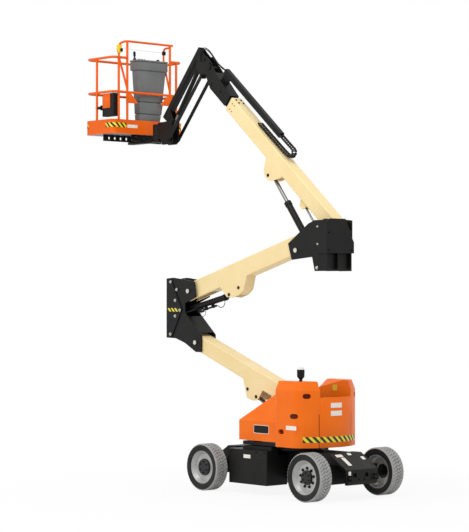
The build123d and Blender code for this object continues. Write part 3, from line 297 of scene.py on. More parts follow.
def turn_mesh(piece, matrix):
    piece.data.transform(matrix)
    if matrix.determinant() < 0:
        piece.data.flip_normals()


def copy_piece(piece):
    twin = piece.copy()
    twin.data = piece.data.copy()
    scene.collection.objects.link(twin)
    return twin


def apply_modifier(piece, kind, **settings):
    # Adds a modifier with its settings and makes its result the piece's mesh.
    pick(piece)
    modifier = piece.modifiers.new(kind, kind)
    for name, value in settings.items():
        setattr(modifier, name, value)
    bpy.ops.object.modifier_apply(modifier=modifier.name)


def smooth(piece, angle=40):
    # Shades a piece smooth where its faces meet at less than an angle in degrees.
    pick(piece)
    bpy.ops.object.shade_smooth_by_angle(angle=math.radians(angle))
    return piece


def bevel_edges(piece, width, segments=2):
    # Rounds the sharp edges of a piece and shades the rest smooth.
    limit = math.radians(BEVEL_ANGLE)
    apply_modifier(piece, "BEVEL", width=width, segments=segments, limit_method="ANGLE", angle_limit=limit)
    return smooth(piece)


def open_mesh():
    # Edit mode with all of the active piece selected.
    bpy.ops.object.mode_set(mode="EDIT")
    bpy.ops.mesh.select_all(action="SELECT")


def close_mesh():
    # Turns every face outwards and goes back to object mode.
    bpy.ops.mesh.select_all(action="SELECT")
    bpy.ops.mesh.normals_make_consistent(inside=False)
    bpy.ops.object.mode_set(mode="OBJECT")


def lathe(rings, sides, fill="NOTHING"):
    # Round form about the Z axis from (height, radius) pairs: one circle, extruded and resized ring by ring.
    clear_selection()
    bpy.ops.mesh.primitive_circle_add(vertices=sides, radius=rings[0][1], fill_type=fill)
    piece = bpy.context.object
    open_mesh()
    bpy.ops.transform.translate(value=(0, 0, rings[0][0]))
    for (last_height, last_radius), (height, radius) in zip(rings, rings[1:]):
        bpy.ops.mesh.extrude_region_move(TRANSFORM_OT_translate={"value": (0, 0, height - last_height)})
        grow = radius / last_radius
        bpy.ops.transform.resize(value=(grow, grow, 1), center_override=(0, 0, height))
    bpy.ops.mesh.select_all(action="SELECT")
    bpy.ops.mesh.remove_doubles(threshold=0.00005)
    close_mesh()
    return piece


def rubber(name, light, dark):
    # Matt rubber with a coarse grain.
    return finish(name, light, dark, 0.72, cloud_scale=9.0, grain_scale=320.0, bump=0.35, shine=0.3)


tread_grey = rubber("tread_grey", "ABABA9", "9A9A98")
# Darker grey painted as the shade on the floors of the tread grooves.
groove_shade_grey = rubber("groove_shade_grey", "7E7E7C", "6C6C6A")
sidewall_black = rubber("sidewall_black", "242424", "1B1B1B")


def tread_block(width, slant, y):
    # One tread block on top of the tyre, slanted, with eased edges.
    clear_selection()
    bpy.ops.mesh.primitive_cube_add(size=1)
    block = bpy.context.object
    block.scale = (BLOCK_LENGTH, width, BLOCK_HEIGHT)
    block.rotation_euler = (0, 0, slant)
    block.location = (0, y, TYRE_RADIUS - TREAD_CROWN - BLOCK_HEIGHT / 2)
    bpy.ops.object.transform_apply()
    return bevel_edges(block, 0.003, 1)


wall = [
    (0.008, RIM_RADIUS), (0.0, RIM_RADIUS + 0.014), (0.0, TYRE_RADIUS - 0.02), (0.008, TYRE_RADIUS - 0.009),
    (0.022, TYRE_RADIUS - 0.003), (0.026, TYRE_RADIUS - GROOVE_DEPTH),
]
near_wall = [(TYRE_HALF - inset, radius) for inset, radius in wall]
far_wall = [(-TYRE_HALF + inset, radius) for inset, radius in reversed(wall)]
casing = lathe(near_wall + far_wall + near_wall[:1], 96)
turn_mesh(casing, Matrix.Rotation(math.pi / 2, 4, "X"))
for material in (tread_grey, groove_shade_grey, sidewall_black):
    casing.data.materials.append(material)
# Sidewall faces take the dark sidewall rubber, groove floors the darker grey of painted shade.
for polygon in casing.data.polygons:
    centre = polygon.center
    reach = math.hypot(centre.x, centre.z)
    if reach < TYRE_RADIUS - SIDEWALL_DROP:
        polygon.material_index = 2
    elif abs(centre.y) < TYRE_HALF - 0.028 and reach < TYRE_RADIUS - 0.008:
        polygon.material_index = 1
blocks = []
for row_y, row_width, slant, phase in TREAD_ROWS:
    pattern = tread_block(row_width, slant, row_y)
    pattern.data.materials.append(tread_grey)
    for number in range(BLOCKS):
        angle = 2 * math.pi * (number + phase) / BLOCKS
        block = copy_piece(pattern)
        turn_mesh(block, Matrix.Rotation(angle, 4, "Y"))
        blocks.append(block)
    bpy.data.objects.remove(pattern)
tyre_pattern = smooth(join([casing] + blocks), 35)

WHEELS = (
    ("drive_left", "drive_wheel_left", -1), ("drive_right", "drive_wheel_right", 1),
    ("steer_left", "steer_wheel_left", -1), ("steer_right", "steer_wheel_right", 1),
)
for wheel, body, side in WHEELS:
    low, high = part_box(f"{wheel}_tyre")
    middle = (low + high) / 2
    tyre = copy_piece(tyre_pattern)
    turn_mesh(tyre, Matrix.Translation(middle))
    settle(tyre, f"{wheel}_tread", None, body)
    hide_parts(f"{wheel}_tyre")
bpy.data.objects.remove(tyre_pattern)


def rim_paint(name, axle, hub_radius):
    # Silver paint with a black hub and a dark lip under the bead, parted by the distance from the axle line.
    material = finish(name, "BEBEBC", "A9A9A7", 0.40, cloud_scale=6.0, metallic=0.25)
    tree = material.node_tree
    shader = next(node for node in tree.nodes if node.type == "BSDF_PRINCIPLED")
    tone = next(node for node in tree.nodes if node.type == "MIX")
    spot = add_node(tree, "TexCoord")
    offset = add_node(tree, "VectorMath", {1: axle}, operation="SUBTRACT")
    flat = add_node(tree, "VectorMath", {1: (1, 0, 1)}, operation="MULTIPLY")
    reach = add_node(tree, "VectorMath", operation="LENGTH")
    edge = add_node(tree, "MapRange", {"From Min": hub_radius - 0.002, "From Max": hub_radius + 0.002})
    hub = add_node(tree, "Mix", {"A": srgb("161615")}, data_type="RGBA")
    bead = add_node(tree, "MapRange", {"From Min": RIM_RADIUS - 0.019, "From Max": RIM_RADIUS - 0.016})
    lip = add_node(tree, "Mix", {"B": srgb("262626")}, data_type="RGBA")
    connect(
        tree,
        (spot, "Object", offset, 0), (offset, "Vector", flat, 0), (flat, "Vector", reach, 0),
        (reach, "Value", edge, "Value"), (edge, "Result", hub, "Factor"), (tone, "Result", hub, "B"),
        (reach, "Value", bead, "Value"), (bead, "Result", lip, "Factor"), (hub, "Result", lip, "A"),
        (lip, "Result", shader, "Base Color"),
    )
    return material


def hex_nut(radius, height):
    # Nut with a round flange and a domed stud end, standing on the XY plane.
    clear_selection()
    layers = []
    for sides, width, depth, middle in ((20, 1.35, 0.3, 0.15), (6, 1.0, 0.6, 0.6), (12, 0.55, 0.3, 1.0)):
        bpy.ops.mesh.primitive_cylinder_add(
            vertices=sides, radius=radius * width, depth=height * depth, location=(0, 0, height * middle),
        )
        layers.append(bpy.context.object)
    nut = join(layers)
    bpy.ops.object.transform_apply()
    return bevel_edges(nut, radius * 0.08, 1)


def stand(place, direction):
    # Matrix that sets a piece from the XY plane on a place, pointed along a direction.
    return Matrix.Translation(place) @ Vector(direction).to_track_quat("Z", "Y").to_matrix().to_4x4()


def aimed(pattern, place, direction, scale=1.0):
    # Copy of a piece, set on a place and pointed along a direction.
    twin = copy_piece(pattern)
    turn_mesh(twin, stand(place, direction) @ Matrix.Scale(scale, 4))
    return twin


WHEEL_NUTS = {"drive": 0, "steer": 9}
HUB_BOLTS = 6
NUT_CIRCLE = 0.138
HUB_RADIUS = {"drive": 0.125, "steer": 0.105}
DISC_SETBACK, HUB_SETBACK = 0.075, 0.040
nut_pattern = hex_nut(0.0165, 0.026)
for wheel, body, side in WHEELS:
    low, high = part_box(f"{wheel}_rim")
    tyre_low, tyre_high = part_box(f"{wheel}_tyre")
    outer = tyre_low.y if side < 0 else tyre_high.y
    axle = (low + high) / 2
    kind = wheel.split("_")[0]
    coat_node(f"{wheel}_rim", rim_paint(f"{wheel}_silver", axle, HUB_RADIUS[kind] + 0.004))
    nuts = []
    for count, circle, setback, scale in (
        (WHEEL_NUTS[kind], NUT_CIRCLE, DISC_SETBACK, 1.0),
        (HUB_BOLTS, HUB_RADIUS[kind] * 0.66, HUB_SETBACK, 0.6),
    ):
        for number in range(count):
            angle = 2 * math.pi * number / count
            across, rise = circle * math.sin(angle), circle * math.cos(angle)
            spot = (axle.x + across, outer - side * setback, axle.z + rise)
            nuts.append(aimed(nut_pattern, spot, (0, side, 0), scale))
    settle(join(nuts), f"{wheel}_nuts", black, body)
bpy.data.objects.remove(nut_pattern)

# Bolts and pins
# Turned steel pins join the tower, and a retaining plate closes each end of a pin that shows.
# The casings carry hex bolts; each kind of fastener is one pattern that is copied to its holes.
def disc(radius, height, sides=28):
    # Round plate with an eased rim and a shallow recess, standing on the XY plane.
    clear_selection()
    middle = (0, 0, height / 2)
    bpy.ops.mesh.primitive_cylinder_add(vertices=sides, radius=radius, depth=height, location=middle)
    plate = bpy.context.object
    bpy.ops.object.transform_apply()
    bpy.ops.object.mode_set(mode="EDIT")
    bpy.ops.mesh.select_all(action="DESELECT")
    bpy.ops.object.mode_set(mode="OBJECT")
    for polygon in plate.data.polygons:
        polygon.select = polygon.normal.z > 0.9
    bpy.ops.object.mode_set(mode="EDIT")
    bpy.ops.mesh.inset(thickness=radius * 0.22, depth=-height * 0.18)
    bpy.ops.object.mode_set(mode="OBJECT")
    return bevel_edges(plate, min(height * 0.3, radius * 0.12))


def scatter(pattern, spots, direction, name, material, body):
    # Copies of a small fastener on the spots, joined into one piece.
    copies = [aimed(pattern, spot, direction) for spot in spots]
    return settle(join(copies), name, material, body)


bolt_small = hex_nut(0.012, 0.014)
bolt_large = hex_nut(0.019, 0.020)
pin_plate = disc(0.036, 0.012)
pin_small = disc(0.026, 0.010)


def pin_at(joint):
    # X and Z of a joint's pin.
    place = joints[joint]["pos_m"]
    return place[0], place[2]


# Chassis fittings
# The welded frame carries blank white rating labels on its sloped cover, its end plate and the battery box.
# Black bolts hold the sloped cover, the end plate and the battery lids.
def label_finish(name, light, dark):
    return finish(name, light, dark, 0.4, cloud_scale=14.0, grain_scale=700.0, bump=0.02)


white_label = label_finish("label_white", "F6F3EC", "E9E5DC")
yellow_label = label_finish("label_yellow", "E9C62C", "DDB920")
LABEL_THICKNESS = 0.0012
NOSE_FOLD, NOSE_END = Vector((1.030, 0.0, 0.675)), Vector((1.375, 0.0, 0.458))
END_FACE = 1.3755
LID_BOLT_HEIGHT = 0.640


def laid(place, right, up):
    # Matrix that lays a piece from the XY plane on a place, with its X and Y along two directions.
    right, up = Vector(right).normalized(), Vector(up).normalized()
    return Matrix.Translation(place) @ Matrix((right, up, right.cross(up))).transposed().to_4x4()


def label(name, width, height, middle, material, body, right=(1, 0, 0), up=(0, 0, 1)):
    # Blank sticker with rounded corners on a wall; right and up are its directions.
    clear_selection()
    bpy.ops.mesh.primitive_plane_add(size=1)
    sticker = bpy.context.object
    sticker.scale = (width, height, 1)
    bpy.ops.object.transform_apply()
    open_mesh()
    bpy.ops.mesh.bevel(offset=min(width, height) * 0.16, segments=4, affect="VERTICES")
    bpy.ops.mesh.extrude_region_move(TRANSFORM_OT_translate={"value": (0, 0, LABEL_THICKNESS)})
    close_mesh()
    turn_mesh(sticker, laid(middle, right, up))
    return settle(sticker, name, material, body)


def on_slope(share, y):
    # Place on the sloped steer-end cover.
    spot = NOSE_FOLD.lerp(NOSE_END, share)
    return (spot.x, y, spot.z)


box_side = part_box("battery_box_left")[0].y
label("battery_label_left", 0.155, 0.055, (-0.434, box_side, 0.570), white_label, "chassis")
slope = (NOSE_END - NOSE_FOLD).normalized()
for word, width, height, share, y in (
    ("long", 0.200, 0.075, 0.50, -0.150), ("edge", 0.060, 0.140, 0.14, -0.180),
    ("far", 0.075, 0.065, 0.36, 0.245), ("top", 0.050, 0.075, 0.08, 0.050),
):
    label(f"slope_label_{word}", width, height, on_slope(share, y), white_label, "chassis", slope, (0, 1, 0))
label("end_label", 0.050, 0.075, (END_FACE, -0.255, 0.400), white_label, "chassis", (0, 1, 0))
slope_normal = slope.cross(Vector((0, -1, 0)))
spots = [on_slope(share, y) for share in (0.2, 0.78) for y in (-0.295, 0.085, 0.295)]
scatter(bolt_small, spots, slope_normal, "slope_bolts", black, "chassis")
spots = [(END_FACE, y, 0.315) for y in (-0.2, -0.06, 0.06, 0.2)]
scatter(bolt_small, spots, (1, 0, 0), "end_bolts", black, "chassis")
for side, word in ((-1, "left"), (1, "right")):
    low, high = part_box(f"battery_box_{word}")
    face = low.y if side < 0 else high.y
    spots = [(x, face, LID_BOLT_HEIGHT) for x in (low.x + 0.06, (low.x + high.x) / 2 + 0.19, high.x - 0.06)]
    scatter(bolt_small, spots, (0, side, 0), f"battery_bolts_{word}", black, "chassis")

# Turntable fittings
# The tail is a bent orange sheet with a seal strip beside each hood, and striped tape runs round its foot.
# Blank white and yellow labels and a bare black plate are stuck on the covers.
TAIL_FOOT, TAIL_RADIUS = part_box("tail_cover")[0].z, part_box("tail_cover")[1].x
TAIL_RIM = 1.502
TAIL_ANGLE = 21.10
HOOD_ANGLE = 21.3
HOOD_SIDE = -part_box("hood_left")[0].y
CHANNEL_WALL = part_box("hood_right")[0].y
FRONT_HOOD_SIDE = -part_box("front_hood_left")[0].y
TAPE_LOW, TAPE_HIGH = 0.832, 0.918
TAPE_START, TAPE_END = -38.6, 33.0
TAIL_LABEL_ANGLE, TAIL_LABEL_WIDTH = -2.3, 0.22
SEAL_FOOT, SEAL_STEP, SEAL_SINK = 0.756, 1.248, 0.003
SEAL_LOW_END, SEAL_HIGH_END = 21.97, 21.385


def hazard_tape(name, pitch):
    # Yellow and black diagonals that follow the piece's own map, which is in metres.
    material = new_material(name)
    tree = material.node_tree
    spot = add_node(tree, "UVMap")
    axes = add_node(tree, "SeparateXYZ")
    total = add_node(tree, "Math", operation="ADD")
    scaled = add_node(tree, "Math", {1: pitch}, operation="DIVIDE")
    wave = add_node(tree, "Math", operation="FRACT")
    edge = add_node(tree, "Math", {1: 0.5}, operation="GREATER_THAN")
    skin = add_node(tree, "Group", {"Cloud Scale": 20.0, "Grain Scale": 500.0}, node_tree=mottle)
    gloss = add_node(tree, "MapRange", {"To Min": 0.46, "To Max": 0.34})
    tone = add_node(tree, "Mix", {"A": srgb("1C1A12"), "B": srgb("F2E02A")}, data_type="RGBA")
    shader = add_node(tree, "BsdfPrincipled")
    out = add_node(tree, "OutputMaterial")
    connect(
        tree,
        (spot, "UV", axes, "Vector"), (axes, "X", total, 0), (axes, "Y", total, 1),
        (total, "Value", scaled, 0), (scaled, "Value", wave, 0), (wave, "Value", edge, 0),
        (edge, "Value", tone, "Factor"), (tone, "Result", shader, "Base Color"),
        (skin, "Cloud", gloss, "Value"), (gloss, "Result", shader, "Roughness"),
        (shader, "BSDF", out, "Surface"),
    )
    return material


tape = hazard_tape("hazard_tape", 0.110)
fine_tape = hazard_tape("hazard_tape_fine", 0.084)


def strip(name, route, low, high, length, material, body, start=0.0):
    # Band on a wall between two heights; route(share) gives a place on the wall and the way out of it.
    clear_selection()
    bpy.ops.mesh.primitive_grid_add(x_subdivisions=40, y_subdivisions=1, size=1, calc_uvs=True)
    band = bpy.context.object
    for corner in band.data.uv_layers.active.data:
        corner.uv = (start + corner.uv.x * length, corner.uv.y * (high - low))
    for vertex in band.data.vertices:
        spot, out = route(vertex.co.x + 0.5)
        height = low + (vertex.co.y + 0.5) * (high - low)
        vertex.co = Vector((*spot, height)) + Vector(out) * LABEL_THICKNESS / 2
    apply_modifier(band, "SOLIDIFY", thickness=LABEL_THICKNESS, offset=1.0)
    return settle(smooth(band), name, material, body)


def tail_arc(first, last, radius=TAIL_RADIUS):
    # Route along the round tail between two angles in degrees.
    def route(share):
        angle = math.radians(first + (last - first) * share)
        out = (math.cos(angle), math.sin(angle), 0.0)
        return (radius * out[0], radius * out[1]), out
    return route


clear_selection()
bpy.ops.mesh.primitive_grid_add(x_subdivisions=56, y_subdivisions=1, size=1)
tail = bpy.context.object
tail_route = tail_arc(-TAIL_ANGLE, TAIL_ANGLE)
for vertex in tail.data.vertices:
    spot, _ = tail_route(vertex.co.x + 0.5)
    vertex.co = (*spot, TAIL_RIM if vertex.co.y > 0 else TAIL_FOOT)
apply_modifier(tail, "SOLIDIFY", thickness=0.008, offset=-1.0)
bevel_edges(tail, 0.0025)
settle(tail, "tail_band", orange, "turntable")
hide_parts("tail_cover")
for word, first, last, body in (
    ("left", TAPE_START, -HOOD_ANGLE - 0.25, "hood_left"),
    ("middle", -HOOD_ANGLE + 0.3, HOOD_ANGLE - 0.3, "turntable"),
    ("right", HOOD_ANGLE + 0.25, TAPE_END, "hood_right"),
):
    arc = math.radians(last - first) * TAIL_RADIUS
    start = math.radians(first - TAPE_START) * TAIL_RADIUS
    strip(f"tail_tape_{word}", tail_arc(first, last), TAPE_LOW, TAPE_HIGH, arc, tape, body, start)
for word, low, high in (("upper", 1.345, 1.418), ("lower", 1.225, 1.300)):
    reach = math.degrees(TAIL_LABEL_WIDTH / 2 / TAIL_RADIUS)
    route = tail_arc(TAIL_LABEL_ANGLE - reach, TAIL_LABEL_ANGLE + reach)
    strip(f"tail_label_{word}", route, low, high, TAIL_LABEL_WIDTH, white_label, "turntable")
for side, word in ((-1, "left"), (1, "right")):
    for level, last, low, high in (
        ("low", SEAL_LOW_END, SEAL_FOOT, SEAL_STEP), ("high", SEAL_HIGH_END, SEAL_STEP, TAIL_RIM - 0.002),
    ):
        route = tail_arc(side * (TAIL_ANGLE + 0.01), side * last, TAIL_RADIUS - SEAL_SINK)
        strip(f"hood_seal_{word}_{level}", route, low, high, 0.05, orange, "turntable")
label("hood_label_left", 0.225, 0.062, (0.520, -HOOD_SIDE, 1.048), white_label, "hood_left")
label("channel_label", 0.095, 0.085, (0.482, CHANNEL_WALL, 1.618), yellow_label, "hood_right")
label("front_plate_rim", 0.340, 0.128, (-0.238, -FRONT_HOOD_SIDE, 0.985), white_label, "turntable")
label("front_plate", 0.326, 0.114, (-0.238, -FRONT_HOOD_SIDE - LABEL_THICKNESS, 0.985), black, "turntable")

# Lower boom and lower upright
# A black casing closes the folded joint, with striped tape, zinc bolts and pale pin ends on the near side.
# Black pins go through the lugs of the lower and the mid boom.
UPRIGHT_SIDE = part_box("lower_upright")[0].y
TAPE_FRONT, TAPE_LENGTH = -2.735, 0.245
UPRIGHT_BOLTS = [
    (-2.671, 3.232), (-2.519, 3.108), (-2.556, 2.933), (-2.440, 2.775), (-2.556, 2.679), (-2.676, 2.385),
]


def on_near_side(node, pattern, sink, places, name, material, body):
    # Fasteners at X and Z places on the near face of a solid, let into it a little.
    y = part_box(node)[0].y + sink
    return scatter(pattern, [(x, y, z) for x, z in places], (0, -1, 0), name, material, body)


def upright_route(share):
    # Route of the tape on the upright's near side.
    return (TAPE_FRONT + TAPE_LENGTH * share, UPRIGHT_SIDE), (0.0, -1.0, 0.0)


on_near_side("lower_upright", bolt_large, 0.0005, UPRIGHT_BOLTS, "upright_bolts", zinc, "lower_upright")
places = [pin_at("lower_upright_level"), pin_at("mid_boom_lift")]
on_near_side("lower_upright", pin_plate, 0.004, places, "upright_pin_ends", zinc, "lower_upright")
strip("upright_tape", upright_route, 2.752, 2.808, TAPE_LENGTH, fine_tape, "lower_upright")
places = [(-0.855, 1.565), (-0.659, 1.453)]
on_near_side("lower_boom", pin_small, 0.0, places, "lower_lug_pins", black, "lower_boom")
places = [(-1.326, 3.029), (-1.102, 3.138)]
on_near_side("mid_boom", pin_small, 0.0, places, "mid_lug_pins", black, "mid_boom")

# Mid lift cylinder fittings
# A steel transfer pipe is clamped under the barrel, and a valve block at its foot feeds it.
# Black rubber hoses with crimped ends loop from the block and bow up to the port at the gland.
def centre_line(points, name):
    # Smooth hose line through its guide points.
    line = bpy.data.curves.new(name, "CURVE")
    line.dimensions = "3D"
    line.resolution_u = 10
    spline = line.splines.new("NURBS")
    spline.points.add(len(points) - 1)
    for point, place in zip(spline.points, points):
        point.co = (*place, 1.0)
    spline.order_u = 3
    spline.use_endpoint_u = True
    hose = bpy.data.objects.new(name, line)
    scene.collection.objects.link(hose)
    return hose


def measured(hose):
    # Points and length of a hose's smooth line.
    bpy.context.view_layer.update()
    mesh = bpy.data.meshes.new_from_object(hose)
    points = [vertex.co.copy() for vertex in mesh.vertices]
    bpy.data.meshes.remove(mesh)
    return points, sum((b - a).length for a, b in zip(points, points[1:]))


def thicken(line, diameter):
    # Round section for a hose line.
    line.data.bevel_depth = diameter / 2
    line.data.bevel_resolution = 4
    line.data.use_fill_caps = True


def hose(name, points, diameter, body, material=rubber_black):
    # Hose between two fittings of one body.
    line = centre_line(points, name)
    _, length = measured(line)
    thicken(line, diameter)
    line.data.materials.append(material)
    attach(line, body)
    return line


def rounded_block(corner_low, corner_high, width):
    # Small machined block with eased edges between two corners.
    clear_selection()
    low, high = Vector(corner_low), Vector(corner_high)
    bpy.ops.mesh.primitive_cube_add(size=1, location=(low + high) / 2)
    block = bpy.context.object
    block.scale = high - low
    bpy.ops.object.transform_apply()
    return bevel_edges(block, width)


MID_LIFT_BASE = Vector(joints["mid_lift_swing"]["pos_m"])
MID_LIFT_AIM = Vector(joints["mid_lift_extend"]["axis"])
MID_LIFT_DOWN = Vector((MID_LIFT_AIM.z, 0, -MID_LIFT_AIM.x))
PIPE_DROP = 0.084


def on_mid_lift(reach, drop, across=0.0):
    # Place beside the mid cylinder: along its barrel, below it and across it.
    return MID_LIFT_BASE + MID_LIFT_AIM * reach + MID_LIFT_DOWN * drop + Vector((0, across, 0))


def turned_rod(start, end, rings, sides=20):
    # Round piece between two places, its outline given as (share of the length, radius) pairs.
    run = Vector(end) - Vector(start)
    piece = lathe([(share * run.length, radius) for share, radius in rings], sides, "NGON")
    turn_mesh(piece, stand(start, run))
    return smooth(piece)


def along_barrel(piece):
    # Turns a piece that was made level so that it lies along the mid cylinder.
    lean = Matrix.Rotation(-math.atan2(MID_LIFT_AIM.z, MID_LIFT_AIM.x), 4, "Y")
    turn_mesh(piece, Matrix.Translation(MID_LIFT_BASE) @ lean)
    return piece


pipe_rings = [
    (0.0, 0.012), (0.01, 0.017), (0.05, 0.017), (0.051, 0.0145), (0.94, 0.0145), (0.941, 0.018), (1.0, 0.018),
]
pipe = turned_rod(on_mid_lift(0.280, PIPE_DROP), on_mid_lift(0.735, PIPE_DROP), pipe_rings)
settle(pipe, "transfer_pipe", black, "mid_lift_barrel")
clamps = []
for reach in (0.47, 0.64):
    clamps.append(rounded_block((reach, -0.026, -PIPE_DROP - 0.019), (reach + 0.034, 0.026, -0.040), 0.004))
clamps.append(rounded_block((0.295, -0.034, -0.112), (0.405, 0.034, -0.044), 0.006))
settle(along_barrel(join(clamps)), "valve_block", black, "mid_lift_barrel")
loop = [
    (0.404, 0.086, -0.018), (0.450, 0.088, -0.022), (0.500, 0.110, -0.030), (0.492, 0.170, -0.034),
    (0.430, 0.196, -0.030), (0.366, 0.180, -0.022), (0.350, 0.140, -0.016), (0.350, 0.111, -0.012),
]
hose("valve_hose", [on_mid_lift(*spot) for spot in loop], 0.0088, "mid_lift_barrel")
bow = [
    (0.733, PIPE_DROP), (0.770, PIPE_DROP), (0.815, 0.128), (0.872, 0.140),
    (0.925, 0.118), (0.948, 0.085), (0.950, 0.050),
]
hose("gland_hose", [on_mid_lift(*spot) for spot in bow], 0.0125, "mid_lift_barrel")
fitting_rings = [(0.0, 0.011), (0.5, 0.011), (0.51, 0.0085), (1.0, 0.0085)]
fittings = []
for start, end in (
    ((0.400, 0.086, -0.018), (0.436, 0.087, -0.020)), ((0.350, 0.110, -0.012), (0.350, 0.134, -0.015)),
    ((0.950, 0.050), (0.949, 0.082)),
):
    fittings.append(turned_rod(on_mid_lift(*start), on_mid_lift(*end), fitting_rings, 12))
settle(join(fittings), "hose_fittings", zinc, "mid_lift_barrel")

# Upper upright fittings
# The head casting has a pale pin end on the tower side and a bolt at its foot.
# Bolts and rivets hold the folded rear cover.
COVER_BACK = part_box("upright_cover")[1].x
places = [pin_at("upper_upright_level")]
on_near_side("upper_upright", pin_plate, 0.004, places, "head_pin_end", zinc, "upper_upright")
places = [(0.693, 3.436)]
on_near_side("upper_upright", bolt_large, 0.0095, places, "head_foot_bolt", zinc, "upper_upright")
places = [(0.735, 3.790), (0.735, 4.050)]
on_near_side("upright_cover", bolt_small, 0.0, places, "cover_side_bolts", zinc, "upper_upright")
spots = [(COVER_BACK, y, z) for y, z in ((-0.233, 3.963), (-0.233, 3.700), (0.245, 3.700))]
scatter(bolt_small, spots, (1, 0, 0), "cover_rivets", black, "upper_upright")

# Main boom and fly boom fittings
# Bolts hold the wear pads in the boom's mouth, and the lift lug carries a pinned eye.
# The nose of the fly section ends in the level pin.
MAIN_PIVOT = Vector(joints["main_boom_lift"]["pos_m"])
MAIN_AIM = Vector(joints["telescope"]["axis"])
MAIN_UP = Vector((MAIN_AIM.z, 0, -MAIN_AIM.x))
MAIN_NEAR, MAIN_FAR = (corner.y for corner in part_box("main_boom"))
NOSE_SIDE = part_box("fly_boom")[0].y
MOUTH_HOLES = [(reach, rise) for reach in (2.905, 2.965) for rise in (-0.055, 0.055)]


def on_main(reach, rise, y):
    # Place on the main boom: along its centre line from the pivot, above it and across.
    spot = MAIN_PIVOT + MAIN_AIM * reach + MAIN_UP * rise
    return Vector((spot.x, y, spot.z))


flush_head = disc(0.0105, 0.0025)
spots = [on_main(*hole, MAIN_NEAR) for hole in MOUTH_HOLES]
scatter(flush_head, spots, (0, -1, 0), "mouth_bolts_near", black, "main_boom")
bpy.data.objects.remove(flush_head)
spots = [on_main(*hole, MAIN_FAR) for hole in MOUTH_HOLES]
scatter(bolt_small, spots, (0, 1, 0), "mouth_bolts_far", black, "main_boom")
spots = [on_main(reach, 0.1183, MAIN_PIVOT.y + across) for reach in (2.90, 2.98) for across in (-0.05, 0.05)]
scatter(bolt_small, spots, MAIN_UP, "mouth_bolts_top", black, "main_boom")
scatter(pin_small, [on_main(1.564, -0.290, MAIN_NEAR)], (0, -1, 0), "main_lug_pin", black, "main_boom")
on_near_side("fly_boom", pin_plate, 0.003, [pin_at("jib_level")], "level_pin_end", black, "fly_boom")
spots = [on_main(reach, rise, NOSE_SIDE + 0.0078) for reach, rise in ((3.34, 0.02), (3.60, -0.02))]
scatter(bolt_small, spots, (0, -1, 0), "nose_bolts", black, "fly_boom")

# Cable chain
# A drag chain of moulded black links carries the platform cables to the square tube on the fly section.
# It leaves the tube's rear end, turns round in a loop and runs forward again above the boom.
CHAIN_PITCH, CHAIN_WIDTH, CHAIN_HEIGHT = 0.046, 0.078, 0.036


def chain_link():
    # One link: two side cheeks with a waist and a cross bar above and below, lying along X.
    pieces = []
    for side in (-1, 1):
        low = (-CHAIN_PITCH * 0.56, side * CHAIN_WIDTH / 2 - 0.006, -CHAIN_HEIGHT / 2)
        high = (CHAIN_PITCH * 0.30, side * CHAIN_WIDTH / 2 + 0.006, CHAIN_HEIGHT / 2)
        pieces.append(rounded_block(low, high, 0.003))
        low = (CHAIN_PITCH * 0.2, side * CHAIN_WIDTH / 2 - 0.010, -CHAIN_HEIGHT * 0.32)
        high = (CHAIN_PITCH * 0.62, side * CHAIN_WIDTH / 2 - 0.001, CHAIN_HEIGHT * 0.32)
        pieces.append(rounded_block(low, high, 0.003))
    for rise in (-1, 1):
        low = (-CHAIN_PITCH * 0.3, -CHAIN_WIDTH / 2, rise * CHAIN_HEIGHT * 0.42 - 0.003)
        high = (CHAIN_PITCH * 0.1, CHAIN_WIDTH / 2, rise * CHAIN_HEIGHT * 0.42 + 0.003)
        pieces.append(rounded_block(low, high, 0.0015))
    return join(pieces)


LOOP_REACH, LOOP_RISE, LOOP_RADIUS = 1.470, 0.238, 0.068
chain_route = [(1.840, 0.300), (1.640, 0.302)]
for step in range(7):
    angle = math.radians(90 + 30 * step)
    back, rise = LOOP_RADIUS * math.cos(angle), LOOP_RADIUS * math.sin(angle)
    chain_route.append((LOOP_REACH + back, LOOP_RISE + rise))
chain_route += [(1.640, 0.158), (2.340, 0.150)]


def walk(route, pitch):
    # Places and directions at equal steps along a route of straight runs.
    spots = []
    left = 0.0
    for start, end in zip(route, route[1:]):
        run = Vector(end) - Vector(start)
        while left <= run.length:
            spots.append((Vector(start) + run * (left / run.length), run.normalized()))
            left += pitch
        left -= run.length
    return spots


pattern = chain_link()
links = []
for spot, run in walk(chain_route, CHAIN_PITCH):
    link = copy_piece(pattern)
    ahead = MAIN_AIM * run.x + MAIN_UP * run.y
    turn_mesh(link, laid(on_main(spot.x, spot.y, MAIN_PIVOT.y), ahead, (0, 1, 0)))
    links.append(link)
bpy.data.objects.remove(pattern)
settle(join(links), "cable_chain", rubber_black, "fly_boom")

# Platform cable loop
# The cables leave the square tube at the boom's nose and bow over to the level bracket of the jib.
# Each is a black rubber cable.
CARRIER_END = on_main(3.516, 0.300, MAIN_PIVOT.y)
BRACKET_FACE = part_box("jib_arm")[0].y - 0.015
CABLE_WIDTH = 0.015


def bridging_hose(name, points, diameter, first, second, start, end):
    # Hose mesh along its guide points; it is not attached to any body.
    line = centre_line(points, name + "_line")
    path, length = measured(line)
    thicken(line, diameter)
    bpy.context.view_layer.update()
    mesh = bpy.data.meshes.new_from_object(line)
    mesh.name = name
    bpy.data.objects.remove(line)
    tube = bpy.data.objects.new(name, mesh)
    scene.collection.objects.link(tube)
    mesh.materials.clear()
    mesh.materials.append(rubber_black)
    for polygon in mesh.polygons:
        polygon.use_smooth = True
    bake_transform(tube)
    return tube


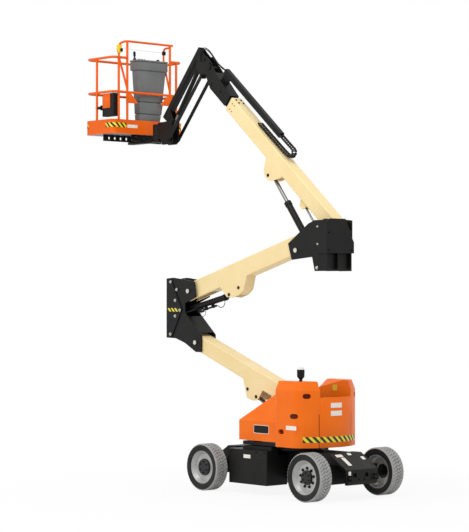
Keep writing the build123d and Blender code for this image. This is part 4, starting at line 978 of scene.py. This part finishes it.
for number, (lift, inward) in enumerate(((0.0, 0.0), (0.022, 0.014))):
    y = BRACKET_FACE - 0.011
    start = CARRIER_END + Vector((0, -0.020 + inward, 0.012 - lift))
    route = [
        start, start + MAIN_AIM * 0.045, start + MAIN_AIM * 0.085 + Vector((0, -0.038 - inward, 0.010)),
        (-1.992, y + 0.003, 6.812 + lift), (-2.100, y, 6.935 + lift),
        (-2.215, y, 7.005 + lift), (-2.320 - lift, y, 6.990 + lift), (-2.362 - lift, y, 6.925),
        (-2.352 - lift, y, 6.862), (-2.335 - lift, y, 6.815),
    ]
    ends = (-1.95, 0.12, 6.74), (-2.31, y, 6.98)
    bridging_hose(f"platform_cable_{number}", route, CABLE_WIDTH, "fly_boom", "jib_base", *ends)

# Jib fittings
# Short pins join the arm, the link and the two brackets.
# A flat black cap closes each end of a pin.
for name, joint, reach, body in (
    ("jib_arm_pin", "jib_lift", 0.081, "jib_base"), ("jib_link_pin", "jib_link_swing", 0.121, "jib_base"),
    ("arm_end_pin", "jib_end_level", 0.081, "jib_end"),
):
    x, z = pin_at(joint)
    for side, word in ((-1, "near"), (1, "far")):
        spot = (x, MAIN_PIVOT.y + side * (reach - 0.004), z)
        scatter(pin_small, [spot], (0, side, 0), f"{name}_{word}", black, body)

# Platform trim
# Yellow and black tape is stuck round the corners of the orange toe board.
# A bare white label sits beside it on the boom's side.
TOE_LOW, TOE_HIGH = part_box("platform_skirt")
TOE_CORNER = 0.090
TOE_TAPE_LOW = 5.803


def toe_route(first, last):
    # Route round the toe board from the outer near corner, in metres along its wall.
    x_run = TOE_HIGH.x - TOE_LOW.x - 2 * TOE_CORNER
    y_run = TOE_HIGH.y - TOE_LOW.y - 2 * TOE_CORNER
    bend = TOE_CORNER * math.pi / 2

    def spot_at(s):
        if s < 0:
            angle = math.radians(270) + s / TOE_CORNER
            centre = (TOE_LOW.x + TOE_CORNER, TOE_LOW.y + TOE_CORNER)
        elif s < x_run:
            return (TOE_LOW.x + TOE_CORNER + s, TOE_LOW.y), (0.0, -1.0, 0.0)
        elif s < x_run + bend:
            angle = math.radians(270) + (s - x_run) / TOE_CORNER
            centre = (TOE_HIGH.x - TOE_CORNER, TOE_LOW.y + TOE_CORNER)
        elif s < x_run + bend + y_run:
            return (TOE_HIGH.x, TOE_LOW.y + TOE_CORNER + s - x_run - bend), (1.0, 0.0, 0.0)
        else:
            angle = (s - x_run - bend - y_run) / TOE_CORNER
            centre = (TOE_HIGH.x - TOE_CORNER, TOE_HIGH.y - TOE_CORNER)
        out = (math.cos(angle), math.sin(angle), 0.0)
        return (centre[0] + TOE_CORNER * out[0], centre[1] + TOE_CORNER * out[1]), out

    return lambda share: spot_at(first + (last - first) * share)


toe_tape = hazard_tape("hazard_tape_toe", 0.094)
for word, first, last in (("corner", 0.470, 0.911), ("end", -0.116, 0.005), ("far", 2.006, 2.178)):
    route = toe_route(first, last)
    strip(f"toe_tape_{word}", route, TOE_TAPE_LOW, 5.880, last - first, toe_tape, "platform")
strip("toe_label", toe_route(0.934, 1.150), TOE_TAPE_LOW, 5.856, 0.216, white_label, "platform")

# Platform support
# A flat steel arm runs from the rotator under the floor and carries two black beams.
# The beams are upright plates, drilled in a row to save weight and welded across the arm.
SUPPORT_LOW, SUPPORT_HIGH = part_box("platform_support")
ARM_TOP = SUPPORT_LOW.z + 0.040
ROTATOR_X, ROTATOR_Y, _ = joints["platform_rotate"]["pos_m"]
HOLE_RADIUS, HOLE_PITCH = 0.027, 0.123


def drilled_beam(x, y_low, y_high, first_hole, holes):
    # Upright plate across the arm with a row of round holes.
    beam = rounded_block((x - 0.015, y_low, ARM_TOP - 0.002), (x + 0.015, y_high, SUPPORT_HIGH.z), 0.004)
    for step in range(holes):
        clear_selection()
        spot = (x, first_hole + step * HOLE_PITCH, (ARM_TOP + SUPPORT_HIGH.z) / 2)
        bpy.ops.mesh.primitive_cylinder_add(
            vertices=32, radius=HOLE_RADIUS, depth=0.1, location=spot, rotation=(0, math.pi / 2, 0),
        )
        cutter = bpy.context.object
        apply_modifier(beam, "BOOLEAN", operation="DIFFERENCE", solver="EXACT", object=cutter)
        bpy.data.objects.remove(cutter)
    return beam


turn_plate = disc(SUPPORT_HIGH.x - ROTATOR_X, ARM_TOP - SUPPORT_LOW.z, 48)
turn_mesh(turn_plate, Matrix.Translation((ROTATOR_X, ROTATOR_Y, SUPPORT_LOW.z)))
arm_low, arm_high = (-4.260, ROTATOR_Y - 0.060, SUPPORT_LOW.z), (ROTATOR_X, ROTATOR_Y + 0.060, ARM_TOP)
pieces = [
    drilled_beam(-4.196, -0.497, 0.750, -0.381, 9), drilled_beam(-3.900, -0.130, 0.520, -0.060, 5),
    rounded_block(arm_low, arm_high, 0.005), turn_plate,
]
support = settle(join(pieces), "support_frame", black, "platform")
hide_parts("platform_support")

# Platform rails
# Bent steel tube, welded at the posts: a top rail open at the console, a mid rail all round and an arch.
# The arch bar bends down into the near guard tube, and a second guard tube starts at the far arch post.
# Gusset plates stiffen the arch posts under the mid rail.
RAIL_LOW, RAIL_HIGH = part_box("platform_rails")
RAIL_RADIUS, POST_RADIUS = 0.0212, 0.0205
RAIL_BEND = 0.090
RAIL_INSET = 0.019
POST_X, END_X = RAIL_HIGH.x - RAIL_INSET, RAIL_LOW.x + RAIL_INSET
NEAR_Y, FAR_Y = RAIL_LOW.y + RAIL_INSET, RAIL_HIGH.y - RAIL_INSET
ARCH_Y = (MAIN_PIVOT.y - 0.440, MAIN_PIVOT.y + 0.484)
MID_RAIL, TOP_RAIL, ARCH_TOP = 6.396, 6.968, RAIL_HIGH.z - 0.0200
FLOOR_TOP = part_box("platform_floor")[1].z
GUARD_X = POST_X - 0.170
GUARD_Y = ARCH_Y[0] - 0.045
CORNER_POST = 0.115


def bent_tube(points, bend, radius, closed=False):
    # Tube along straight runs with rounded bends between them.
    clear_selection()
    bpy.ops.mesh.primitive_circle_add(vertices=len(points), fill_type="NOTHING")
    tube = bpy.context.object
    for vertex, place in zip(tube.data.vertices, points):
        vertex.co = place
    bpy.ops.object.mode_set(mode="EDIT")
    bpy.ops.mesh.select_mode(type="VERT")
    bpy.ops.mesh.select_all(action="DESELECT")
    bpy.ops.object.mode_set(mode="OBJECT")
    for end in (0, len(points) - 1):
        tube.data.vertices[end].select = not closed
    bpy.ops.object.mode_set(mode="EDIT")
    if not closed:
        bpy.ops.mesh.delete(type="EDGE")
    bpy.ops.mesh.select_all(action="SELECT")
    bpy.ops.mesh.bevel(offset=bend, segments=8, affect="VERTICES")
    bpy.ops.object.mode_set(mode="OBJECT")
    bpy.ops.object.convert(target="CURVE")
    tube = bpy.context.object
    tube.data.bevel_depth = radius
    tube.data.bevel_resolution = 5
    tube.data.use_fill_caps = True
    bpy.ops.object.convert(target="MESH")
    return bpy.context.object


def post(x, y, top):
    # Upright tube from the floor.
    return bent_tube([(x, y, FLOOR_TOP), (x, y, (FLOOR_TOP + top) / 2), (x, y, top)], 0.01, POST_RADIUS)


corners = [(POST_X, NEAR_Y), (END_X, NEAR_Y), (END_X, FAR_Y), (POST_X, FAR_Y)]
top_run = [(POST_X, ARCH_Y[0]), *corners, (POST_X, ARCH_Y[1])]
tubes = [
    bent_tube([(x, y, TOP_RAIL) for x, y in top_run], RAIL_BEND, RAIL_RADIUS),
    bent_tube([(x, y, MID_RAIL) for x, y in corners], RAIL_BEND, RAIL_RADIUS, closed=True),
    bent_tube([
        (POST_X, ARCH_Y[1] + 0.055, ARCH_TOP), (POST_X, GUARD_Y, ARCH_TOP),
        (GUARD_X, GUARD_Y, ARCH_TOP - 0.030), (GUARD_X, GUARD_Y, ARCH_TOP - 0.250),
        (POST_X - 0.010, ARCH_Y[0], MID_RAIL + 0.080),
    ], 0.066, 0.0185),
    bent_tube([
        (POST_X, ARCH_Y[1], ARCH_TOP - 0.036), (GUARD_X, ARCH_Y[1], ARCH_TOP - 0.040),
        (GUARD_X, ARCH_Y[1], ARCH_TOP - 0.260), (POST_X - 0.010, ARCH_Y[1], MID_RAIL + 0.080),
    ], 0.060, 0.0165),
]
for x, y in (
    (-4.235, NEAR_Y), (POST_X, NEAR_Y + CORNER_POST), (POST_X, FAR_Y - CORNER_POST),
    (-4.400, FAR_Y), (END_X, 0.500), (END_X, FAR_Y - CORNER_POST),
):
    tubes.append(post(x, y, TOP_RAIL - 0.005))
for y in ARCH_Y:
    tubes.append(post(POST_X, y, ARCH_TOP - 0.004))
rails = settle(smooth(join(tubes)), "bent_rails", orange_tube, "platform")
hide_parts("platform_rails")


def flat_plate(outline, thickness, width):
    # Plate in the YZ plane from its outline, with eased edges.
    clear_selection()
    bpy.ops.mesh.primitive_circle_add(vertices=len(outline), radius=1, fill_type="NGON")
    plate = bpy.context.object
    for vertex, (y, z) in zip(plate.data.vertices, outline):
        vertex.co = (-thickness / 2, y, z)
    open_mesh()
    bpy.ops.mesh.extrude_region_move(TRANSFORM_OT_translate={"value": (thickness, 0, 0)})
    close_mesh()
    return bevel_edges(plate, width)


for side, post_y, word in ((1, ARCH_Y[0], "near"), (-1, ARCH_Y[1], "far")):
    steps = [(-0.036, 6.385), (0.060, 6.385), (0.205, 6.240), (0.205, 6.215), (-0.036, 6.215)]
    gusset = flat_plate([(post_y + side * step, z) for step, z in steps], 0.008, 0.0015)
    turn_mesh(gusset, Matrix.Translation((POST_X + 0.014, 0, 0)))
    settle(gusset, f"post_gusset_{word}", orange_tube, "platform")

# Guard tube fittings
# A yellow sensor housing is strapped to the near guard tube, a black switch to the far one.
# A thin trip wire is strung between them above the console.
yellow = finish("sensor_yellow", "F4D81E", "E6C614", 0.38, cloud_scale=18.0, grain_scale=600.0)
for name, material, width, low, high, out, y, z in (
    ("guard_sensor", yellow, 0.030, (-0.036, -0.042, -0.078), (0.036, 0.042, 0.078), 0.010, GUARD_Y, 7.135),
    ("sensor_strap", black, 0.008, (-0.039, -0.014, -0.030), (0.039, 0.054, 0.030), 0.008, GUARD_Y, 7.112),
    ("guard_switch", black, 0.010, (-0.026, -0.024, -0.034), (0.026, 0.030, 0.034), 0.004, ARCH_Y[1], 7.130),
):
    fitting = rounded_block(low, high, width)
    turn_mesh(fitting, Matrix.Translation((GUARD_X + out, y, z)))
    settle(fitting, name, material, "platform")
wire = [
    (GUARD_X, GUARD_Y + 0.036, 7.150), (GUARD_X, ARCH_Y[0] + 0.250, 7.143),
    (GUARD_X, ARCH_Y[1] - 0.240, 7.135), (GUARD_X, ARCH_Y[1] - 0.020, 7.138),
]
wire_grey = finish("wire_grey", "9A9A98", "848482", 0.4, grain_scale=900.0, metallic=0.4)
hose("trip_wire", wire, 0.0035, "platform", wire_grey)

# Console
# A moulded grey control box with a lid stands in the opening of the top rail.
# Its pedestal is moulded in three lengths that narrow downwards and stands on the floor.
# A row of toggles, a knob and a rubber-booted drive lever sit on the lid.
def tapered_block(low, high, width):
    # Block between two level rectangles, each given as x range, y range and height.
    clear_selection()
    bpy.ops.mesh.primitive_cube_add(size=2)
    form = bpy.context.object
    for vertex in form.data.vertices:
        x_range, y_range, z = high if vertex.co.z > 0 else low
        vertex.co = (x_range[vertex.co.x > 0], y_range[vertex.co.y > 0], z)
    return bevel_edges(form, width, 3)


BOX_X, BOX_Y, BOX_FOOT, BOX_TOP = (-4.060, -3.818), (-0.042, 0.590), 6.792, 6.938
LID_X, LID_Y = (BOX_X[0] - 0.006, BOX_X[1] + 0.006), (BOX_Y[0] - 0.006, BOX_Y[1] + 0.004)
LID_TOP = BOX_TOP + 0.031
stack = []
for low, high, width in (
    ((BOX_X, BOX_Y, BOX_FOOT), (BOX_X, BOX_Y, BOX_TOP), 0.014),
    (((-4.008, -3.844), (-0.004, 0.500), 6.262), ((-4.030, -3.834), (-0.030, 0.566), 6.800), 0.022),
    (((-4.000, -3.848), (0.004, 0.480), 6.060), ((-4.006, -3.840), (0.000, 0.506), 6.258), 0.014),
    (((-3.990, -3.858), (0.018, 0.420), FLOOR_TOP), ((-3.998, -3.850), (0.008, 0.474), 6.056), 0.014),
    ((LID_X, LID_Y, BOX_TOP + 0.003), (BOX_X, BOX_Y, BOX_TOP + 0.032), 0.008),
):
    stack.append(tapered_block(low, high, width))
console = settle(join(stack), "console_moulding", console_grey, "platform")
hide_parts("console")


def on_lid(outward, along, rise=0.0):
    # Place over the lid: from its outer edge, from its near end and above it.
    return Vector((BOX_X[0] + outward, BOX_Y[0] + along, LID_TOP + rise))


lever_rings = [
    (0.0, 0.030), (0.08, 0.028), (0.30, 0.014), (0.42, 0.013),
    (0.46, 0.021), (0.80, 0.023), (0.95, 0.018), (1.0, 0.006),
]
lever = turned_rod(on_lid(0.080, 0.040), on_lid(0.084, 0.028, 0.150), lever_rings)
settle(lever, "drive_lever", rubber_black, "platform")
toggle_rings = [(0.0, 0.010), (0.3, 0.010), (0.31, 0.0045), (1.0, 0.0065)]
toggles = []
for step in range(5):
    along = 0.120 + step * 0.034
    toggles.append(turned_rod(on_lid(0.070, along), on_lid(0.074, along, 0.036), toggle_rings, 12))
settle(join(toggles), "console_toggles", black, "platform")
knob_rings = [(0.0, 0.016), (0.45, 0.016), (0.46, 0.027), (0.85, 0.027), (1.0, 0.018)]
knob_along = BOX_Y[1] - BOX_Y[0] - 0.080
knob = turned_rod(on_lid(0.070, knob_along), on_lid(0.070, knob_along, 0.046), knob_rings)
settle(knob, "console_knob", black, "platform")

# Document box
# A black plastic case for papers hangs beside the near post, with an orange cover plate on its outer face.
# A steel strap clasps the post and carries the case's lug.
CASE_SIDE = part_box("document_box")[0].y
cover = rounded_block((-4.096, CASE_SIDE - 0.005, 6.128), (-3.900, CASE_SIDE + 0.003, 6.368), 0.003)
settle(cover, "document_cover", orange_tube, "platform")
strap = rounded_block((-4.262, NEAR_Y - 0.010, 6.118), (-4.140, NEAR_Y + 0.038, 6.162), 0.004)
settle(strap, "document_strap", black, "platform")

# Beacon
# The warning lamp has a black moulded body on a rubber stalk, fixed to the near hood.
# A pale frosted cap closes it.
LAMP_LOW, LAMP_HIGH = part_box("beacon")
LAMP_X, LAMP_Y = (LAMP_LOW.x + LAMP_HIGH.x) / 2, (LAMP_LOW.y + LAMP_HIGH.y) / 2
lamp_neck = (LAMP_X, LAMP_Y, LAMP_HIGH.z - 0.040)
lamp_rings = [
    (0.0, 0.030), (0.10, 0.024), (0.18, 0.024), (0.34, 0.050), (0.40, 0.056), (0.97, 0.058), (1.0, 0.052),
]
lamp = turned_rod((LAMP_X, LAMP_Y, LAMP_LOW.z), lamp_neck, lamp_rings, 32)
settle(lamp, "beacon_body", black, "hood_left")
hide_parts("beacon")
cap_white = finish("beacon_cap", "EDEDE8", "DCDCD6", 0.3, cloud_scale=20.0)
cap_rings = [(0.0, 0.050), (0.45, 0.049), (0.8, 0.042), (1.0, 0.028)]
cap = turned_rod(lamp_neck, (LAMP_X, LAMP_Y, LAMP_HIGH.z), cap_rings, 32)
settle(cap, "beacon_cap", cap_white, "hood_left")

# Hood pockets
# Dark brown ovals near the bottom of the tail hoods' hand pockets are painted shade for the deep pockets.
# Each round pocket is given by its angle on the tail in degrees, its height and how far the wall is set in.
POCKETS = ((34.8, 1.523, 0.0), (47.4, 1.223, 0.012))
POCKET_DEPTH, POCKET_RADIUS, POCKET_STRETCH = 0.046, 0.036, 0.025
UP = Vector((0, 0, 1))
# Dark brown finish painted as the shade deep inside the pockets.
pocket_shade_brown = finish("pocket_shade_brown", "6A2A0A", "562006", 0.6, cloud_scale=12.0, shine=0.2)
for side, word in ((-1, "left"), (1, "right")):
    shade_spots = [(Vector((0.296, side * (HOOD_SIDE - POCKET_DEPTH), 0.982)), Vector((0, side, 0)))]
    for angle, height, inset in POCKETS:
        turn = math.radians(angle) * side
        out = Vector((math.cos(turn), math.sin(turn), 0))
        shade_spots.append((out * (TAIL_RADIUS - inset - POCKET_DEPTH) + UP * height, out))
    ovals = []
    # Each oval is a dark sheet of painted shade set near the pocket's floor.
    for spot, out in shade_spots:
        clear_selection()
        bpy.ops.mesh.primitive_cylinder_add(vertices=32, radius=POCKET_RADIUS, depth=0.006)
        oval = bpy.context.object
        for vertex in oval.data.vertices:
            vertex.co.x += POCKET_STRETCH if vertex.co.x > 0 else -POCKET_STRETCH
        turn_mesh(oval, laid(spot, UP.cross(out), UP))
        ovals.append(oval)
    settle(join(ovals), f"pocket_shade_ovals_{word}", pocket_shade_brown, f"hood_{word}")

for pattern in (bolt_small, bolt_large, pin_plate, pin_small):
    bpy.data.objects.remove(pattern)
